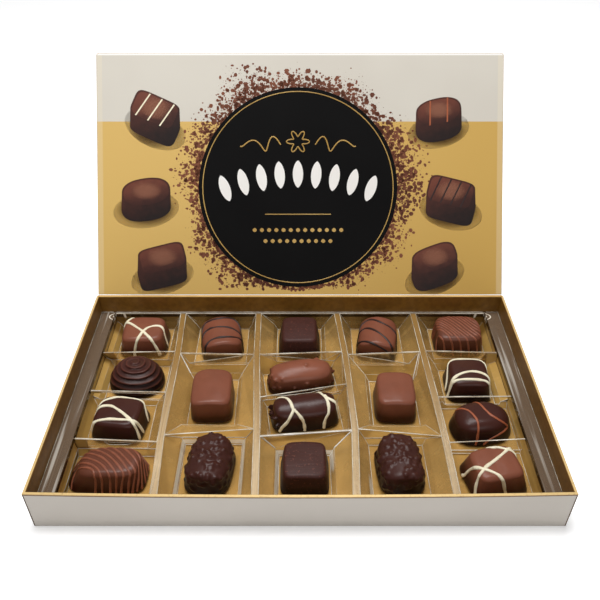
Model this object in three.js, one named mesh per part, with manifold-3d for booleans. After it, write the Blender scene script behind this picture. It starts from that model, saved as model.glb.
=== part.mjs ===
// A box of chocolate pralines: a shallow carton tray with its lid folded back, a clear formed
// insert with eighteen pockets, and eighteen dipped, ribbed and drizzled pralines.
// Millimetres, +Z up. The origin is the middle of the tray's underside, +X runs to the right
// along the long side and +Y to the back, where the lid is creased on.
import * as THREE from "three";
import { ConvexGeometry } from "three/addons/geometries/ConvexGeometry.js";
import { mergeVertices } from "three/addons/utils/BufferGeometryUtils.js";
import Module from "manifold-3d";

const wasm = await Module();
wasm.setup();

// Carton
const BOX_WIDTH = 260;
const BOX_DEPTH = 153.4;
const WALL_HEIGHT = 25.9;
const WALL = 1.6;
const FLOOR_BOARD = 1.5;
const REST_GAP = 0.3;
// The front wall's rim leans out, more in its middle than at the corners
const CORNER_BOW = 0.9;
const MIDDLE_BOW = 2.5;
const BOW_SPANS = 8;

// Lid
const LID_LEAN = THREE.MathUtils.degToRad(35.4);
const LID_BOARD = 2;
const LID_CREASE = 0.5;
const LID_SIDE_INSET = 1;
const LID_CORNER = 1.6;
const LID_EDGE = 0.3;

// Clear insert: one film drawn up into ridges between the pockets
const FILM = 0.6;
const RIDGE_TOP = 14;
const SHELF = 8;
const POCKET_RIM = 6;
const POCKET_FLOOR = FLOOR_BOARD + REST_GAP + FILM;
const POCKET_SLACK = 1;
const POCKET_FLARE = 2.3;
const FLANGE_X = 119.5;
const FLANGE_BACK = 73.2;
const FLANGE_FRONT = -72;
const FLANGE_ROOM = 1;
const SHELF_DRAFT = 0.4;
const LONG_RIDGE_HALF = 1.7;
const CROSS_RIDGE_HALF = 0.35;
const RIDGE_STATIONS = [74, 35.5, -19.5, -67];
const LONG_RIDGES = [
  [-75.3, -73.8, -74.3, -71.5],
  [-26.7, -26.1, -23.2, -22.1],
  [23.8, 27, 29.7, 27.7],
  [72.9, 74.3, 76.7, 76.6],
];
// For each column, the cross ridges from the back: where each meets its left and right ridge
const CROSS_RIDGES = [
  [[35.2, 36.2], [2.8, 1.5], [-32.8, -35.1]],
  [[34.8, 33.6], [-30.4, -26.2]],
  [[33.6, 36.2], [-2.4, 8.2], [-31, -26.8]],
  [[33.6, 36.2], [-26.2, -31.4]],
  [[36.9, 35.2], [-2.2, -1.8], [-35.7, -33.1]],
];

// Pralines
const PRALINE_BASE = POCKET_FLOOR + REST_GAP;
const SECTORS = 16;
const FINE_SECTORS = 18;
const FINE_RINGS = 8;
const ARCHED = 0.15;
const TOP_SHARE = 0.52;
const CORNER_SHARE = 0.73;
const FLAT_RINGS = [TOP_SHARE, 0.63, CORNER_SHARE, 1];
const ARCHED_RINGS = [0.3, ...FLAT_RINGS];
const FOOT = 0.6;
const BASE_SHARE = 0.94;
const POINT_SHARPNESS = 8;
const CUT_HEIGHT = 40;
const STRAND_WIDTH = 1.3;
const STRAND_RISE = 0.45;
const STRAND_SPANS = 4;
const RIB_WIDTH = 1.1;
const RIB_RISE = 0.4;
const RIB_ANGLE = THREE.MathUtils.degToRad(30);

const MILK = { color: 0x6f3a28, roughness: 0.35 };
const DARK = { color: 0x33191a, roughness: 0.32 };

// A closed geometry as a solid that can be joined and cut
function solidOf(geometry) {
  const bare = geometry.clone();
  bare.deleteAttribute("normal");
  bare.deleteAttribute("uv");
  const merged = mergeVertices(bare, 1e-4);
  return new wasm.Manifold(
    new wasm.Mesh({
      numProp: 3,
      vertProperties: merged.attributes.position.array,
      triVerts: new Uint32Array(merged.index.array),
    }),
  );
}

function geometryOf(solid) {
  const made = solid.getMesh();
  const geometry = new THREE.BufferGeometry();
  geometry.setAttribute("position", new THREE.BufferAttribute(made.vertProperties, 3));
  geometry.setIndex(new THREE.BufferAttribute(made.triVerts, 1));
  geometry.computeVertexNormals();
  return geometry;
}

function mesh(name, geometry, finish) {
  const made = new THREE.Mesh(geometry, new THREE.MeshStandardMaterial(finish));
  made.name = name;
  return made;
}

// A block on the middle line that stands on a given height
function block(width, depth, height, base) {
  const made = new THREE.BoxGeometry(width, depth, height, BOW_SPANS, 1, 1);
  return made.translate(0, 0, base + height / 2);
}

// A block whose front face leans out towards the rim
function bowedBlock(width, depth, height, base) {
  const made = block(width, depth, height, base);
  const at = made.getAttribute("position");
  for (let i = 0; i < at.count; i += 1) {
    const middle = 1 - (at.getX(i) / (BOX_WIDTH / 2)) ** 2;
    const bow = CORNER_BOW + (MIDDLE_BOW - CORNER_BOW) * middle;
    if (at.getY(i) < 0) at.setY(i, at.getY(i) - (bow * at.getZ(i)) / WALL_HEIGHT);
  }
  return made;
}

// The carton tray: a floor and four double-board walls with the lining turned over the rim
function tray() {
  const outside = solidOf(bowedBlock(BOX_WIDTH, BOX_DEPTH, WALL_HEIGHT, 0));
  const room = bowedBlock(BOX_WIDTH - 2 * WALL, BOX_DEPTH - 2 * WALL, WALL_HEIGHT, FLOOR_BOARD);
  const finish = { color: 0xb5ada5, roughness: 0.55 };
  return mesh("carton_tray", geometryOf(outside.subtract(solidOf(room))), finish);
}

// The lid panel in its own frame: the crease along X, the panel rising along Y, print towards +Z
function lid() {
  const half = BOX_WIDTH / 2 - LID_SIDE_INSET;
  const low = LID_CREASE;
  const high = BOX_DEPTH;
  const outline = new THREE.Shape();
  outline.moveTo(-half, low);
  outline.lineTo(half, low);
  outline.lineTo(half, high - LID_CORNER);
  outline.absarc(half - LID_CORNER, high - LID_CORNER, LID_CORNER, 0, Math.PI / 2);
  outline.absarc(-half + LID_CORNER, high - LID_CORNER, LID_CORNER, Math.PI / 2, Math.PI);
  outline.closePath();
  const panel = new THREE.ExtrudeGeometry(outline, {
    depth: LID_BOARD - 2 * LID_EDGE,
    bevelThickness: LID_EDGE,
    bevelSize: LID_EDGE,
    bevelOffset: -LID_EDGE,
    bevelSegments: 1,
    curveSegments: 3,
  });
  panel.translate(0, 0, LID_EDGE - LID_BOARD);
  const made = mesh("lid_panel", panel, { color: 0xc9a25c, roughness: 0.45 });
  made.rotation.x = Math.PI / 2 - LID_LEAN;
  made.position.set(0, BOX_DEPTH / 2, WALL_HEIGHT + REST_GAP);
  return made;
}

// Where a long ridge runs at a given depth, between the stations it was set out on
function ridgeX(ridge, y) {
  const xs = LONG_RIDGES[ridge];
  const last = RIDGE_STATIONS.length - 1;
  let i = 0;
  while (i < last - 1 && y < RIDGE_STATIONS[i + 1]) i += 1;
  const share = (y - RIDGE_STATIONS[i]) / (RIDGE_STATIONS[i + 1] - RIDGE_STATIONS[i]);
  return xs[i] + share * (xs[i + 1] - xs[i]);
}

// The corners of a cell at ridge height, from its back left one, seen from above
function cellCorners(column, row) {
  const cross = CROSS_RIDGES[column];
  const back = row === 0 ? [FLANGE_BACK, FLANGE_BACK] : cross[row - 1].map((y) => y - CROSS_RIDGE_HALF);
  const front =
    row === cross.length ? [FLANGE_FRONT, FLANGE_FRONT] : cross[row].map((y) => y + CROSS_RIDGE_HALF);
  const left = (y) => (column === 0 ? -FLANGE_X : ridgeX(column - 1, y) + LONG_RIDGE_HALF);
  const right = (y) => (column === 4 ? FLANGE_X : ridgeX(column, y) - LONG_RIDGE_HALF);
  return [
    [left(back[0]), back[0]],
    [right(back[1]), back[1]],
    [right(front[1]), front[1]],
    [left(front[0]), front[0]],
  ];
}

// The corners of a praline's pocket, grown by a margin, in the same order
function pocketCorners(piece, margin) {
  const turn = piece.pocketYaw ?? 0;
  const c = Math.cos(THREE.MathUtils.degToRad(turn));
  const s = Math.sin(THREE.MathUtils.degToRad(turn));
  const lean = THREE.MathUtils.degToRad(piece.yaw - turn);
  const spreadX = Math.abs(piece.length * Math.cos(lean)) + Math.abs(piece.width * Math.sin(lean));
  const spreadY = Math.abs(piece.length * Math.sin(lean)) + Math.abs(piece.width * Math.cos(lean));
  const halfX = spreadX / 2 + margin;
  const halfY = spreadY / 2 + margin;
  const [extraFront, extraBack] = piece.slack ?? [0, 0];
  return [
    [-halfX, halfY + extraBack],
    [halfX, halfY + extraBack],
    [halfX, -halfY - extraFront],
    [-halfX, -halfY - extraFront],
  ].map(([u, v]) => [piece.x + u * c - v * s, piece.y + u * s + v * c]);
}

function hull(points) {
  return solidOf(new ConvexGeometry(points.map(([x, y, z]) => new THREE.Vector3(x, y, z))));
}

// A pocket corner kept inside the flange, which the outer pockets run close to
function insideFlange([x, y]) {
  const room = THREE.MathUtils.clamp;
  return [
    room(x, -FLANGE_X + FLANGE_ROOM, FLANGE_X - FLANGE_ROOM),
    room(y, FLANGE_FRONT + FLANGE_ROOM, FLANGE_BACK - FLANGE_ROOM),
  ];
}

// What one pocket takes out of the insert: a funnel down from the ridges and a flared seat.
// Next to the flange the film first drops steeply to a shelf.
function cellCut(piece) {
  const ridge = cellCorners(piece.column, piece.row);
  const rim = pocketCorners(piece, POCKET_SLACK + POCKET_FLARE).map(insideFlange);
  const seat = pocketCorners(piece, POCKET_SLACK).map(insideFlange);
  const shelf = ridge.flatMap(([x, y], i) => {
    const atSide = Math.abs(x) === FLANGE_X;
    const atEnd = y === FLANGE_BACK || y === FLANGE_FRONT;
    if (!atSide && !atEnd) return [];
    const shelfX = atSide ? x - Math.sign(x) * SHELF_DRAFT : rim[i][0];
    const shelfY = atEnd ? y - Math.sign(y) * SHELF_DRAFT : rim[i][1];
    return [[shelfX, shelfY, SHELF]];
  });
  const upper = hull([
    ...ridge.map((p) => [...p, RIDGE_TOP]),
    ...ridge.map((p) => [...p, RIDGE_TOP + FILM]),
    ...shelf,
    ...rim.map((p) => [...p, POCKET_RIM]),
  ]);
  const lower = hull([...rim.map((p) => [...p, POCKET_RIM]), ...seat.map((p) => [...p, POCKET_FLOOR])]);
  return upper.add(lower);
}

// The insert: everything drawn from one sheet, so its underside is its top side let down
function insert() {
  const inset = 2 * (WALL + REST_GAP);
  const sheet = block(BOX_WIDTH - inset, BOX_DEPTH - inset, RIDGE_TOP - FLOOR_BOARD, FLOOR_BOARD);
  let drawn = solidOf(sheet);
  for (const piece of PRALINES) drawn = drawn.subtract(cellCut(piece));
  const under = drawn.translate([0, 0, -FILM]);
  const finish = { color: 0xd8d0c0, roughness: 0.1, transparent: true, opacity: 0.35 };
  return mesh("clear_insert", geometryOf(drawn.subtract(under)), finish);
}

// How far out and how high the surface lies at a ring: 0 is the middle of the top, 1 the foot
function profile(piece, ring) {
  const { height, taper, round, dome } = piece;
  if (dome) {
    const turn = (ring * Math.PI) / 2;
    return [Math.sin(turn), FOOT + (height - FOOT) * Math.cos(turn) ** dome];
  }
  const flat = taper - round;
  const drop = (round * Math.min(piece.length, piece.width)) / 2;
  if (ring <= TOP_SHARE) return [(ring / TOP_SHARE) * flat, height];
  if (ring <= CORNER_SHARE) {
    const turn = ((ring - TOP_SHARE) / (CORNER_SHARE - TOP_SHARE)) * (Math.PI / 2);
    return [flat + round * Math.sin(turn), height - drop * (1 - Math.cos(turn))];
  }
  const down = (ring - CORNER_SHARE) / (1 - CORNER_SHARE);
  return [taper + (1 - taper) * down, (height - drop) * (1 - down) + FOOT * down];
}

// A point of a praline's skin in its own frame, grown outwards by a margin
function skin(piece, angle, ring, grow) {
  const c = Math.cos(angle);
  const s = Math.sin(angle);
  const power = 2 / piece.square;
  const u = Math.sign(c) * Math.abs(c) ** power;
  const v = Math.sign(s) * Math.abs(s) ** power;
  const [out, high] = profile(piece, ring);
  const relief = piece.relief ? piece.relief(u * out, v * out, ring, angle) : 0;
  const point = 1 + (piece.point ?? 0) * Math.max(0, c) ** POINT_SHARPNESS;
  const spread = Math.min(1, ring * 2) * grow + relief * out;
  const x = u * out * point * (piece.length / 2 + spread);
  const y = v * out * (piece.width / 2 + spread);
  const archX = 1 - piece.archX * (u * out) ** 2;
  const archY = 1 - piece.archY * (v * out) ** 2;
  const nose = 1 - (piece.nose ?? 0) * Math.max(0, -u * out) ** 2;
  const lift = ring < CORNER_SHARE ? relief : 0;
  const z = high * archX * archY * nose + lift + (ring < 1 ? grow : 0);
  return new THREE.Vector3(x, y, z);
}

// A praline's body as one closed loft, round its rings from the top to the foot
function body(piece, grow = 0) {
  const sectors = piece.relief ? FINE_SECTORS : SECTORS;
  const arched = piece.archX > ARCHED || piece.archY > ARCHED;
  const smooth = arched ? ARCHED_RINGS : FLAT_RINGS;
  const count = piece.rings ?? FINE_RINGS;
  const fine = Array.from({ length: count }, (_, i) => (i + 1) / count);
  const rings = piece.relief ? fine : smooth;
  const turn = (i) => ((i + 0.5) / sectors) * 2 * Math.PI;
  const points = [skin(piece, 0, 0, grow)];
  for (const ring of rings) {
    for (let i = 0; i < sectors; i += 1) points.push(skin(piece, turn(i), ring, grow));
  }
  const first = points.length;
  for (let i = 0; i < sectors; i += 1) {
    const rim = skin(piece, turn(i), 1, grow);
    points.push(new THREE.Vector3(rim.x * BASE_SHARE, rim.y * BASE_SHARE, 0));
  }
  points.push(new THREE.Vector3(0, 0, 0));
  const index = [];
  for (let i = 0; i < sectors; i += 1) {
    const next = (i + 1) % sectors;
    index.push(0, 1 + i, 1 + next);
    for (let r = 0; r < rings.length; r += 1) {
      const a = 1 + r * sectors;
      const b = a + sectors;
      index.push(a + i, b + i, b + next, a + i, b + next, a + next);
    }
    index.push(points.length - 1, first + next, first + i);
  }
  const geometry = new THREE.BufferGeometry().setFromPoints(points);
  geometry.setIndex(index);
  return solidOf(geometry);
}

// A strand of drizzle seen from above as a ribbon, tall enough to cut the whole praline
function ribbon(points, width) {
  const curve = new THREE.CatmullRomCurve3(points.map(([x, y]) => new THREE.Vector3(x, y, 0)));
  const line = curve.getSpacedPoints(points.length > 2 ? STRAND_SPANS : 1);
  const side = (i, half) => {
    const a = line[Math.max(0, i - 1)];
    const b = line[Math.min(line.length - 1, i + 1)];
    const along = b.clone().sub(a).normalize();
    return new THREE.Vector2(line[i].x - along.y * half, line[i].y + along.x * half);
  };
  const left = line.map((_, i) => side(i, width / 2));
  const right = line.map((_, i) => side(i, -width / 2)).reverse();
  const shape = new THREE.Shape([...left, ...right]);
  return solidOf(new THREE.ExtrudeGeometry(shape, { depth: CUT_HEIGHT, bevelEnabled: false }));
}

// Straight ribs at a slant across the whole praline
function ribs(piece) {
  const reach = piece.length;
  const along = [-Math.sin(piece.ribAngle), Math.cos(piece.ribAngle)];
  const across = [Math.cos(piece.ribAngle), Math.sin(piece.ribAngle)];
  const half = (piece.ribCount - 1) / 2;
  return Array.from({ length: piece.ribCount }, (_, i) => {
    const at = (i - half) * piece.ribPitch;
    return [-1, 1].map((k) => [
      across[0] * at + along[0] * k * reach,
      across[1] * at + along[1] * k * reach,
    ]);
  });
}

// A praline as one solid with its drizzle or ribs fused on
function praline(piece) {
  let made = body(piece);
  const raised = [
    ...(piece.strands ?? []).map((line) => ribbon(line, STRAND_WIDTH)),
    ...(piece.ribCount ? ribs(piece).map((line) => ribbon(line, RIB_WIDTH)) : []),
  ];
  if (raised.length) {
    const grown = body(piece, piece.ribCount ? RIB_RISE : STRAND_RISE);
    for (const strand of raised) made = made.add(strand.intersect(grown));
  }
  const node = mesh(piece.name, geometryOf(made), piece.finish);
  node.position.set(piece.x, piece.y, PRALINE_BASE);
  node.rotation.z = THREE.MathUtils.degToRad(piece.yaw);
  return node;
}

// Lumps of chopped nut under a dark coat, from a few waves of unlike lengths
function nutty(u, v, ring, angle) {
  const bump = Math.sin(8 * u + 1.3) * Math.sin(7 * v + 0.4) + 0.7 * Math.sin(6 * angle + 9 * ring);
  return 0.45 * bump * Math.min(1, ring * 2);
}

// Soft lumps under a milk coat
function lumpy(u, v, ring, angle) {
  return 0.35 * Math.sin(4 * angle + 6 * ring) * Math.min(1, ring * 2);
}

// Terraces that wind up a dome
function wound(u, v, ring, angle) {
  return 0.5 * Math.sin(2 * Math.PI * 4 * ring - angle) * Math.min(1, ring * 2);
}

const BLOCK = { finish: MILK, taper: 0.86, round: 0.2, square: 5, archX: 0.06, archY: 0.06 };
const LOG_ALONG_Y = { finish: MILK, taper: 0.93, round: 0.14, square: 5, archX: 0.34, archY: 0.05 };
const LOG_ALONG_X = { finish: DARK, taper: 0.9, round: 0.2, square: 3.6, archX: 0.08, archY: 0.34 };

// Each praline lies in its column and row, counted from the back left. Its strands of drizzle
// are lines seen from above, in its own frame.
const PRALINES = [
  {
    ...BLOCK, name: "praline_milk_crossed_back", column: 0, row: 0,
    x: -98, y: 56.6, yaw: 1, length: 29.5, width: 27, height: 14,
    strands: [
      [[-15, 1], [-11.7, 6], [0, -4.9], [7, -10], [11, -14.5]],
      [[-4.5, -14.5], [-3.5, -10], [0, -4.9], [7.5, 1.6], [11.6, -2.5], [15, -6]],
      [[-15, 1.5], [-12, 3], [-8, 9.5], [-6, 14]],
    ],
  },
  {
    name: "praline_dark_dome", column: 0, row: 1, finish: DARK,
    x: -96.7, y: 21, yaw: 0, length: 32, width: 27, height: 17,
    taper: 1, round: 0, dome: 0.75, square: 2.2, archX: 0, archY: 0, relief: wound, rings: 12,
  },
  {
    ...BLOCK, name: "praline_dark_laced", column: 0, row: 2, finish: DARK,
    x: -99.6, y: -13.4, yaw: -8, length: 28.5, width: 26, height: 13,
    strands: [
      [[-14.5, -2], [-8, 2.5], [-3, 3], [8.5, -5.7], [14.5, -11]],
      [[-14.5, -11.5], [-9.9, -9.8], [-4.6, -8], [8.5, -6.2], [14.5, -4.5]],
      [[-14, 1], [-7.7, 5.5], [0, 10], [11, 9.5], [14.5, 7]],
    ],
  },
  {
    ...BLOCK, taper: 0.72, round: 0.26, square: 3.4, archX: 0.12, archY: 0.1, nose: 0.14,
    name: "praline_milk_ribbed_long", column: 0, row: 3,
    x: -98.2, y: -48.6, yaw: -1, length: 41, width: 24.5, height: 13.6,
    ribAngle: RIB_ANGLE, ribCount: 9, ribPitch: 4,
  },
  {
    ...LOG_ALONG_Y, name: "praline_milk_striped_left", column: 1, row: 0,
    x: -49.2, y: 54.4, yaw: 8, length: 26, width: 29, height: 14.5,
    strands: [
      [[-13.5, 6.5], [-7, 8.3], [1.5, 9], [13.5, 10.5]],
      [[-13.5, -2], [-5.2, 1.3], [2.2, 0.5], [13.5, -4]],
      [[-13.5, -13], [-5.7, -8.1], [2, -8.6], [13.5, -10.5]],
    ],
  },
  {
    ...LOG_ALONG_Y, taper: 0.94, archX: 0.14, archY: 0.06, slack: [0.5, 4],
    name: "praline_milk_plain_left", column: 1, row: 1,
    x: -50, y: 3.4, yaw: 1, length: 24, width: 30, height: 16,
  },
  {
    ...LOG_ALONG_Y, taper: 0.92, square: 3.8, relief: nutty, finish: DARK,
    name: "praline_dark_nut_left", column: 1, row: 2,
    x: -46.8, y: -45.4, yaw: -7, length: 25, width: 32.5, height: 14,
  },
  {
    ...BLOCK, taper: 0.84, round: 0.13, square: 6, finish: DARK,
    name: "praline_dark_cube_back", column: 2, row: 0,
    x: -0.4, y: 55.8, yaw: 0, length: 26, width: 29, height: 14,
  },
  {
    ...LOG_ALONG_X, relief: lumpy, pocketYaw: 9, finish: MILK,
    name: "praline_milk_lumpy", column: 2, row: 1,
    x: 0, y: 20.8, yaw: 9, length: 40, width: 19, height: 12,
  },
  {
    ...LOG_ALONG_X, pocketYaw: 7,
    name: "praline_dark_log_laced", column: 2, row: 2,
    x: 2.6, y: -7.6, yaw: 9, length: 38, width: 20, height: 14.5,
    strands: [
      [[-14, 10.5], [-9.6, 1], [-7.6, -5.6], [-10, -8.8], [-17, -8.5]],
      [[-7.6, -5.6], [-3.2, -8.5], [-2.4, -10.5]],
      [[7, 10.5], [12.1, -0.8], [11.7, -7.1], [9, -10.5]],
      [[11.5, 4], [16, -1.7], [17.6, -5], [17.6, -9]],
    ],
  },
  {
    ...BLOCK, taper: 0.88, round: 0.13, square: 6, finish: DARK,
    name: "praline_dark_cube_front", column: 2, row: 3,
    x: 2.4, y: -48.5, yaw: 0, length: 25.2, width: 26, height: 13.5,
  },
  {
    ...LOG_ALONG_Y, name: "praline_milk_striped_right", column: 3, row: 0,
    x: 48.7, y: 54.2, yaw: -9, length: 25, width: 29, height: 14.5,
    strands: [
      [[-13, 9.5], [-9.6, 10.7], [-2.9, 11], [4, 7.5], [13, 0]],
      [[-13, 3.5], [-11, 3.9], [-3, 1], [1.9, -3.8], [13, -13.5]],
      [[-13, -7.5], [-8.7, -10.5], [-4, -11.6], [10, -13.4]],
    ],
  },
  {
    ...LOG_ALONG_Y, taper: 0.9, round: 0.16, archX: 0.08, archY: 0.06, slack: [0.5, 4],
    name: "praline_milk_plain_right", column: 3, row: 1,
    x: 54.2, y: 2.6, yaw: -1, length: 23.6, width: 29, height: 15.5,
  },
  {
    ...LOG_ALONG_Y, taper: 0.92, square: 3.8, relief: nutty, finish: DARK,
    name: "praline_dark_nut_right", column: 3, row: 2,
    x: 51.8, y: -45.4, yaw: 4, length: 25, width: 32.5, height: 14,
  },
  {
    ...BLOCK, square: 4.4, name: "praline_milk_ribbed_square", column: 4, row: 0,
    x: 99.4, y: 57, yaw: -1, length: 30, width: 26, height: 14,
    ribAngle: RIB_ANGLE, ribCount: 9, ribPitch: 3.2,
  },
  {
    ...BLOCK, archX: 0.1, name: "praline_dark_striped", column: 4, row: 1, finish: DARK,
    x: 98.4, y: 17.3, yaw: -1, length: 26, width: 26.5, height: 14,
    strands: [
      [[-13.5, 6], [-9.6, 10.2], [0, 11.3], [10, 8.6], [13.5, 6]],
      [[-13.5, -9.5], [-10.3, -5.7], [-6, -1.9], [2.8, -2], [13.5, -6.5]],
      [[-13.5, -10.5], [-6.5, -8.1], [4.3, -8.1], [13.5, -10]],
    ],
  },
  {
    taper: 0.78, round: 0.3, square: 2.6, archX: 0.1, archY: 0.06, point: 0.06,
    name: "praline_dark_heart", column: 4, row: 2, finish: DARK,
    x: 99.4, y: -15.6, yaw: 8, length: 33, width: 24.5, height: 13.5,
    strands: [
      [[-14, 6.5], [-10.9, 5.4], [-7.5, 2.5], [-5.2, -4.5], [-4.5, -12.5]],
      [[0, 12.5], [0.6, 7], [1.8, 0.1], [5.1, -4.5], [14, -4.7], [12, -7.5], [5, -12.5]],
    ],
  },
  {
    ...BLOCK, taper: 0.8, name: "praline_milk_crossed_front", column: 4, row: 3,
    x: 99.6, y: -50, yaw: 12, length: 30, width: 26.5, height: 14,
    strands: [
      [[12, 13.5], [7.7, 7.2], [-0.4, -0.2], [-7.5, -4.8], [-12.3, -5.8], [-15, -8.5]],
      [[-15, 5.5], [-12.5, 2.6], [-10.2, -2.1], [-5, -4.8], [-2, -9.2], [0, -14]],
      [[-2, 13.5], [0, 9], [5.4, 8.4], [9.4, 5.7], [15, -1]],
    ],
  },
];

const group = new THREE.Group();
group.add(tray(), lid(), insert(), ...PRALINES.map(praline));

export default group;
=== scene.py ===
"""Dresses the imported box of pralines: carton, lid, clear insert and eighteen chocolates.

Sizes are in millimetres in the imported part's own frame. A mesh is turned into metres when it is made.
"""

from __future__ import annotations

import logging
import math
from dataclasses import dataclass, replace
from enum import Enum
from typing import Any, Iterable, Optional, Sequence, Union

import bmesh
import bpy
import numpy as np
from mathutils import Matrix, Vector

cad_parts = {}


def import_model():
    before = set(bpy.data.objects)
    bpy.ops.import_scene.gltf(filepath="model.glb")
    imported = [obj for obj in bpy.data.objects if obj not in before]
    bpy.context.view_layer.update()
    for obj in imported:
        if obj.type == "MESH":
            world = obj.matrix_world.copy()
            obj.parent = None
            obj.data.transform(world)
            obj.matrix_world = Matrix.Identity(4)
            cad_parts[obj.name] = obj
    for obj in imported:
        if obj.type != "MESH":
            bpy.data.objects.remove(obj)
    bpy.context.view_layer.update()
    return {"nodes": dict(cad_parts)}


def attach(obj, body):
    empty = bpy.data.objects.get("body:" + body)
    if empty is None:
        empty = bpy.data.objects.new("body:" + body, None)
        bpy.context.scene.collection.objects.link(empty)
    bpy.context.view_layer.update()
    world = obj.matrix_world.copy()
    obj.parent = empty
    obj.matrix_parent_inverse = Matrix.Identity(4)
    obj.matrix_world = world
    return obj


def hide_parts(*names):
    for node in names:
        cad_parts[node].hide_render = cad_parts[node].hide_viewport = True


LOG = logging.getLogger("praline_box")
MM = 0.001
BOX_BODY = "box"
LID_BODY = "lid"

# Carton and lid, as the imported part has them
HALF_WIDTH = 130.0
HALF_DEPTH = 76.7
WALL_HEIGHT = 25.9
WALL = 1.6
FLOOR_BOARD = 1.5
CORNER_BOW = 0.9
MIDDLE_BOW = 2.5
LID_LEAN = math.radians(35.4)
LID_HINGE = (0.0, HALF_DEPTH, 26.2)
LID_HALF = 129.0
LID_LOW = 0.5
LID_HIGH = 153.4
LID_BOARD = 2.0

# Clear insert
RIDGE_TOP = 14.0
FLANGE_X = 119.5
FLANGE_BACK = 73.2
FLANGE_FRONT = -72.0
SIDE_SLOPE_X = 112.0
REAR_SLOPE_Y = 60.0
MIDDLE_SEATS_X = 68.0

# Pralines
PRALINE_BASE = 2.7
FOOT = 0.6

Colour = tuple[float, float, float]
Points = np.ndarray


def srgb(red: float, green: float, blue: float) -> Colour:
    """Gives a linear colour from its screen values, 0 to 255.

    Args:
        red: Its red.
        green: Its green.
        blue: Its blue.

    Returns:
        The linear colour.
    """
    return tuple(
        c / 12.92 if c <= 0.04045 else ((c + 0.055) / 1.055) ** 2.4
        for c in (red / 255, green / 255, blue / 255)
    )


class Value:
    """A node's output that takes part in arithmetic and adds Math nodes as it does."""

    def __init__(self, graph: "Graph", socket: bpy.types.NodeSocket) -> None:
        """Wraps one output socket of a graph."""
        self.graph = graph
        self.socket = socket

    def _math(self, operation: str, first: Any, second: Any = 0.0) -> "Value":
        """Adds a Math node on two operands and gives its result."""
        return self.graph.add("ShaderNodeMath", {"operation": operation}, {0: first, 1: second})

    def __add__(self, other: Any) -> "Value":
        """Adds."""
        return self._math("ADD", self, other)

    __radd__ = __add__

    def __sub__(self, other: Any) -> "Value":
        """Subtracts."""
        return self._math("SUBTRACT", self, other)

    def __rsub__(self, other: Any) -> "Value":
        """Subtracts from a number."""
        return self._math("SUBTRACT", other, self)

    def __mul__(self, other: Any) -> "Value":
        """Multiplies."""
        return self._math("MULTIPLY", self, other)

    __rmul__ = __mul__

    def __pow__(self, other: Any) -> "Value":
        """Raises to a power."""
        return self._math("POWER", self, other)

    def __abs__(self) -> "Value":
        """Gives the size without the sign."""
        return self._math("ABSOLUTE", self)

    def sine(self) -> "Value":
        """Gives the sine."""
        return self._math("SINE", self)

    def most(self, other: Any) -> "Value":
        """Gives the larger of two."""
        return self._math("MAXIMUM", self, other)

    def least(self, other: Any) -> "Value":
        """Gives the smaller of two."""
        return self._math("MINIMUM", self, other)

    def rise(self, low: float, high: float) -> "Value":
        """Gives a smooth step from 0 at low to 1 at high."""
        limits = {"Value": self, "From Min": low, "From Max": high}
        return self.graph.add("ShaderNodeMapRange", {"interpolation_type": "SMOOTHSTEP"}, limits)


Input = Union[Value, float, int, bool, str, Sequence[float], bpy.types.ID]


class Graph:
    """A node tree and the one way in which nodes are added to it."""

    def __init__(self, tree: bpy.types.NodeTree) -> None:
        """Wraps a node tree."""
        self.tree = tree

    def make(
        self,
        kind: str,
        settings: Optional[dict[str, Any]] = None,
        inputs: Optional[dict[Union[str, int], Input]] = None,
    ) -> bpy.types.Node:
        """Makes a node.

        Args:
            kind: The node's type.
            settings: Its own settings, set before anything is linked.
            inputs: A value or a link for each socket, by name or place.

        Returns:
            The node.
        """
        node = self.tree.nodes.new(kind)
        for key, setting in (settings or {}).items():
            setattr(node, key, setting)
        for key, value in (inputs or {}).items():
            if isinstance(value, Value):
                self.tree.links.new(value.socket, node.inputs[key])
            else:
                node.inputs[key].default_value = value
        return node

    def add(
        self,
        kind: str,
        settings: Optional[dict[str, Any]] = None,
        inputs: Optional[dict[Union[str, int], Input]] = None,
        output: Union[str, int] = 0,
    ) -> Value:
        """Makes a node and gives one of its outputs to go on from."""
        return Value(self, self.make(kind, settings, inputs).outputs[output])


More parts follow.
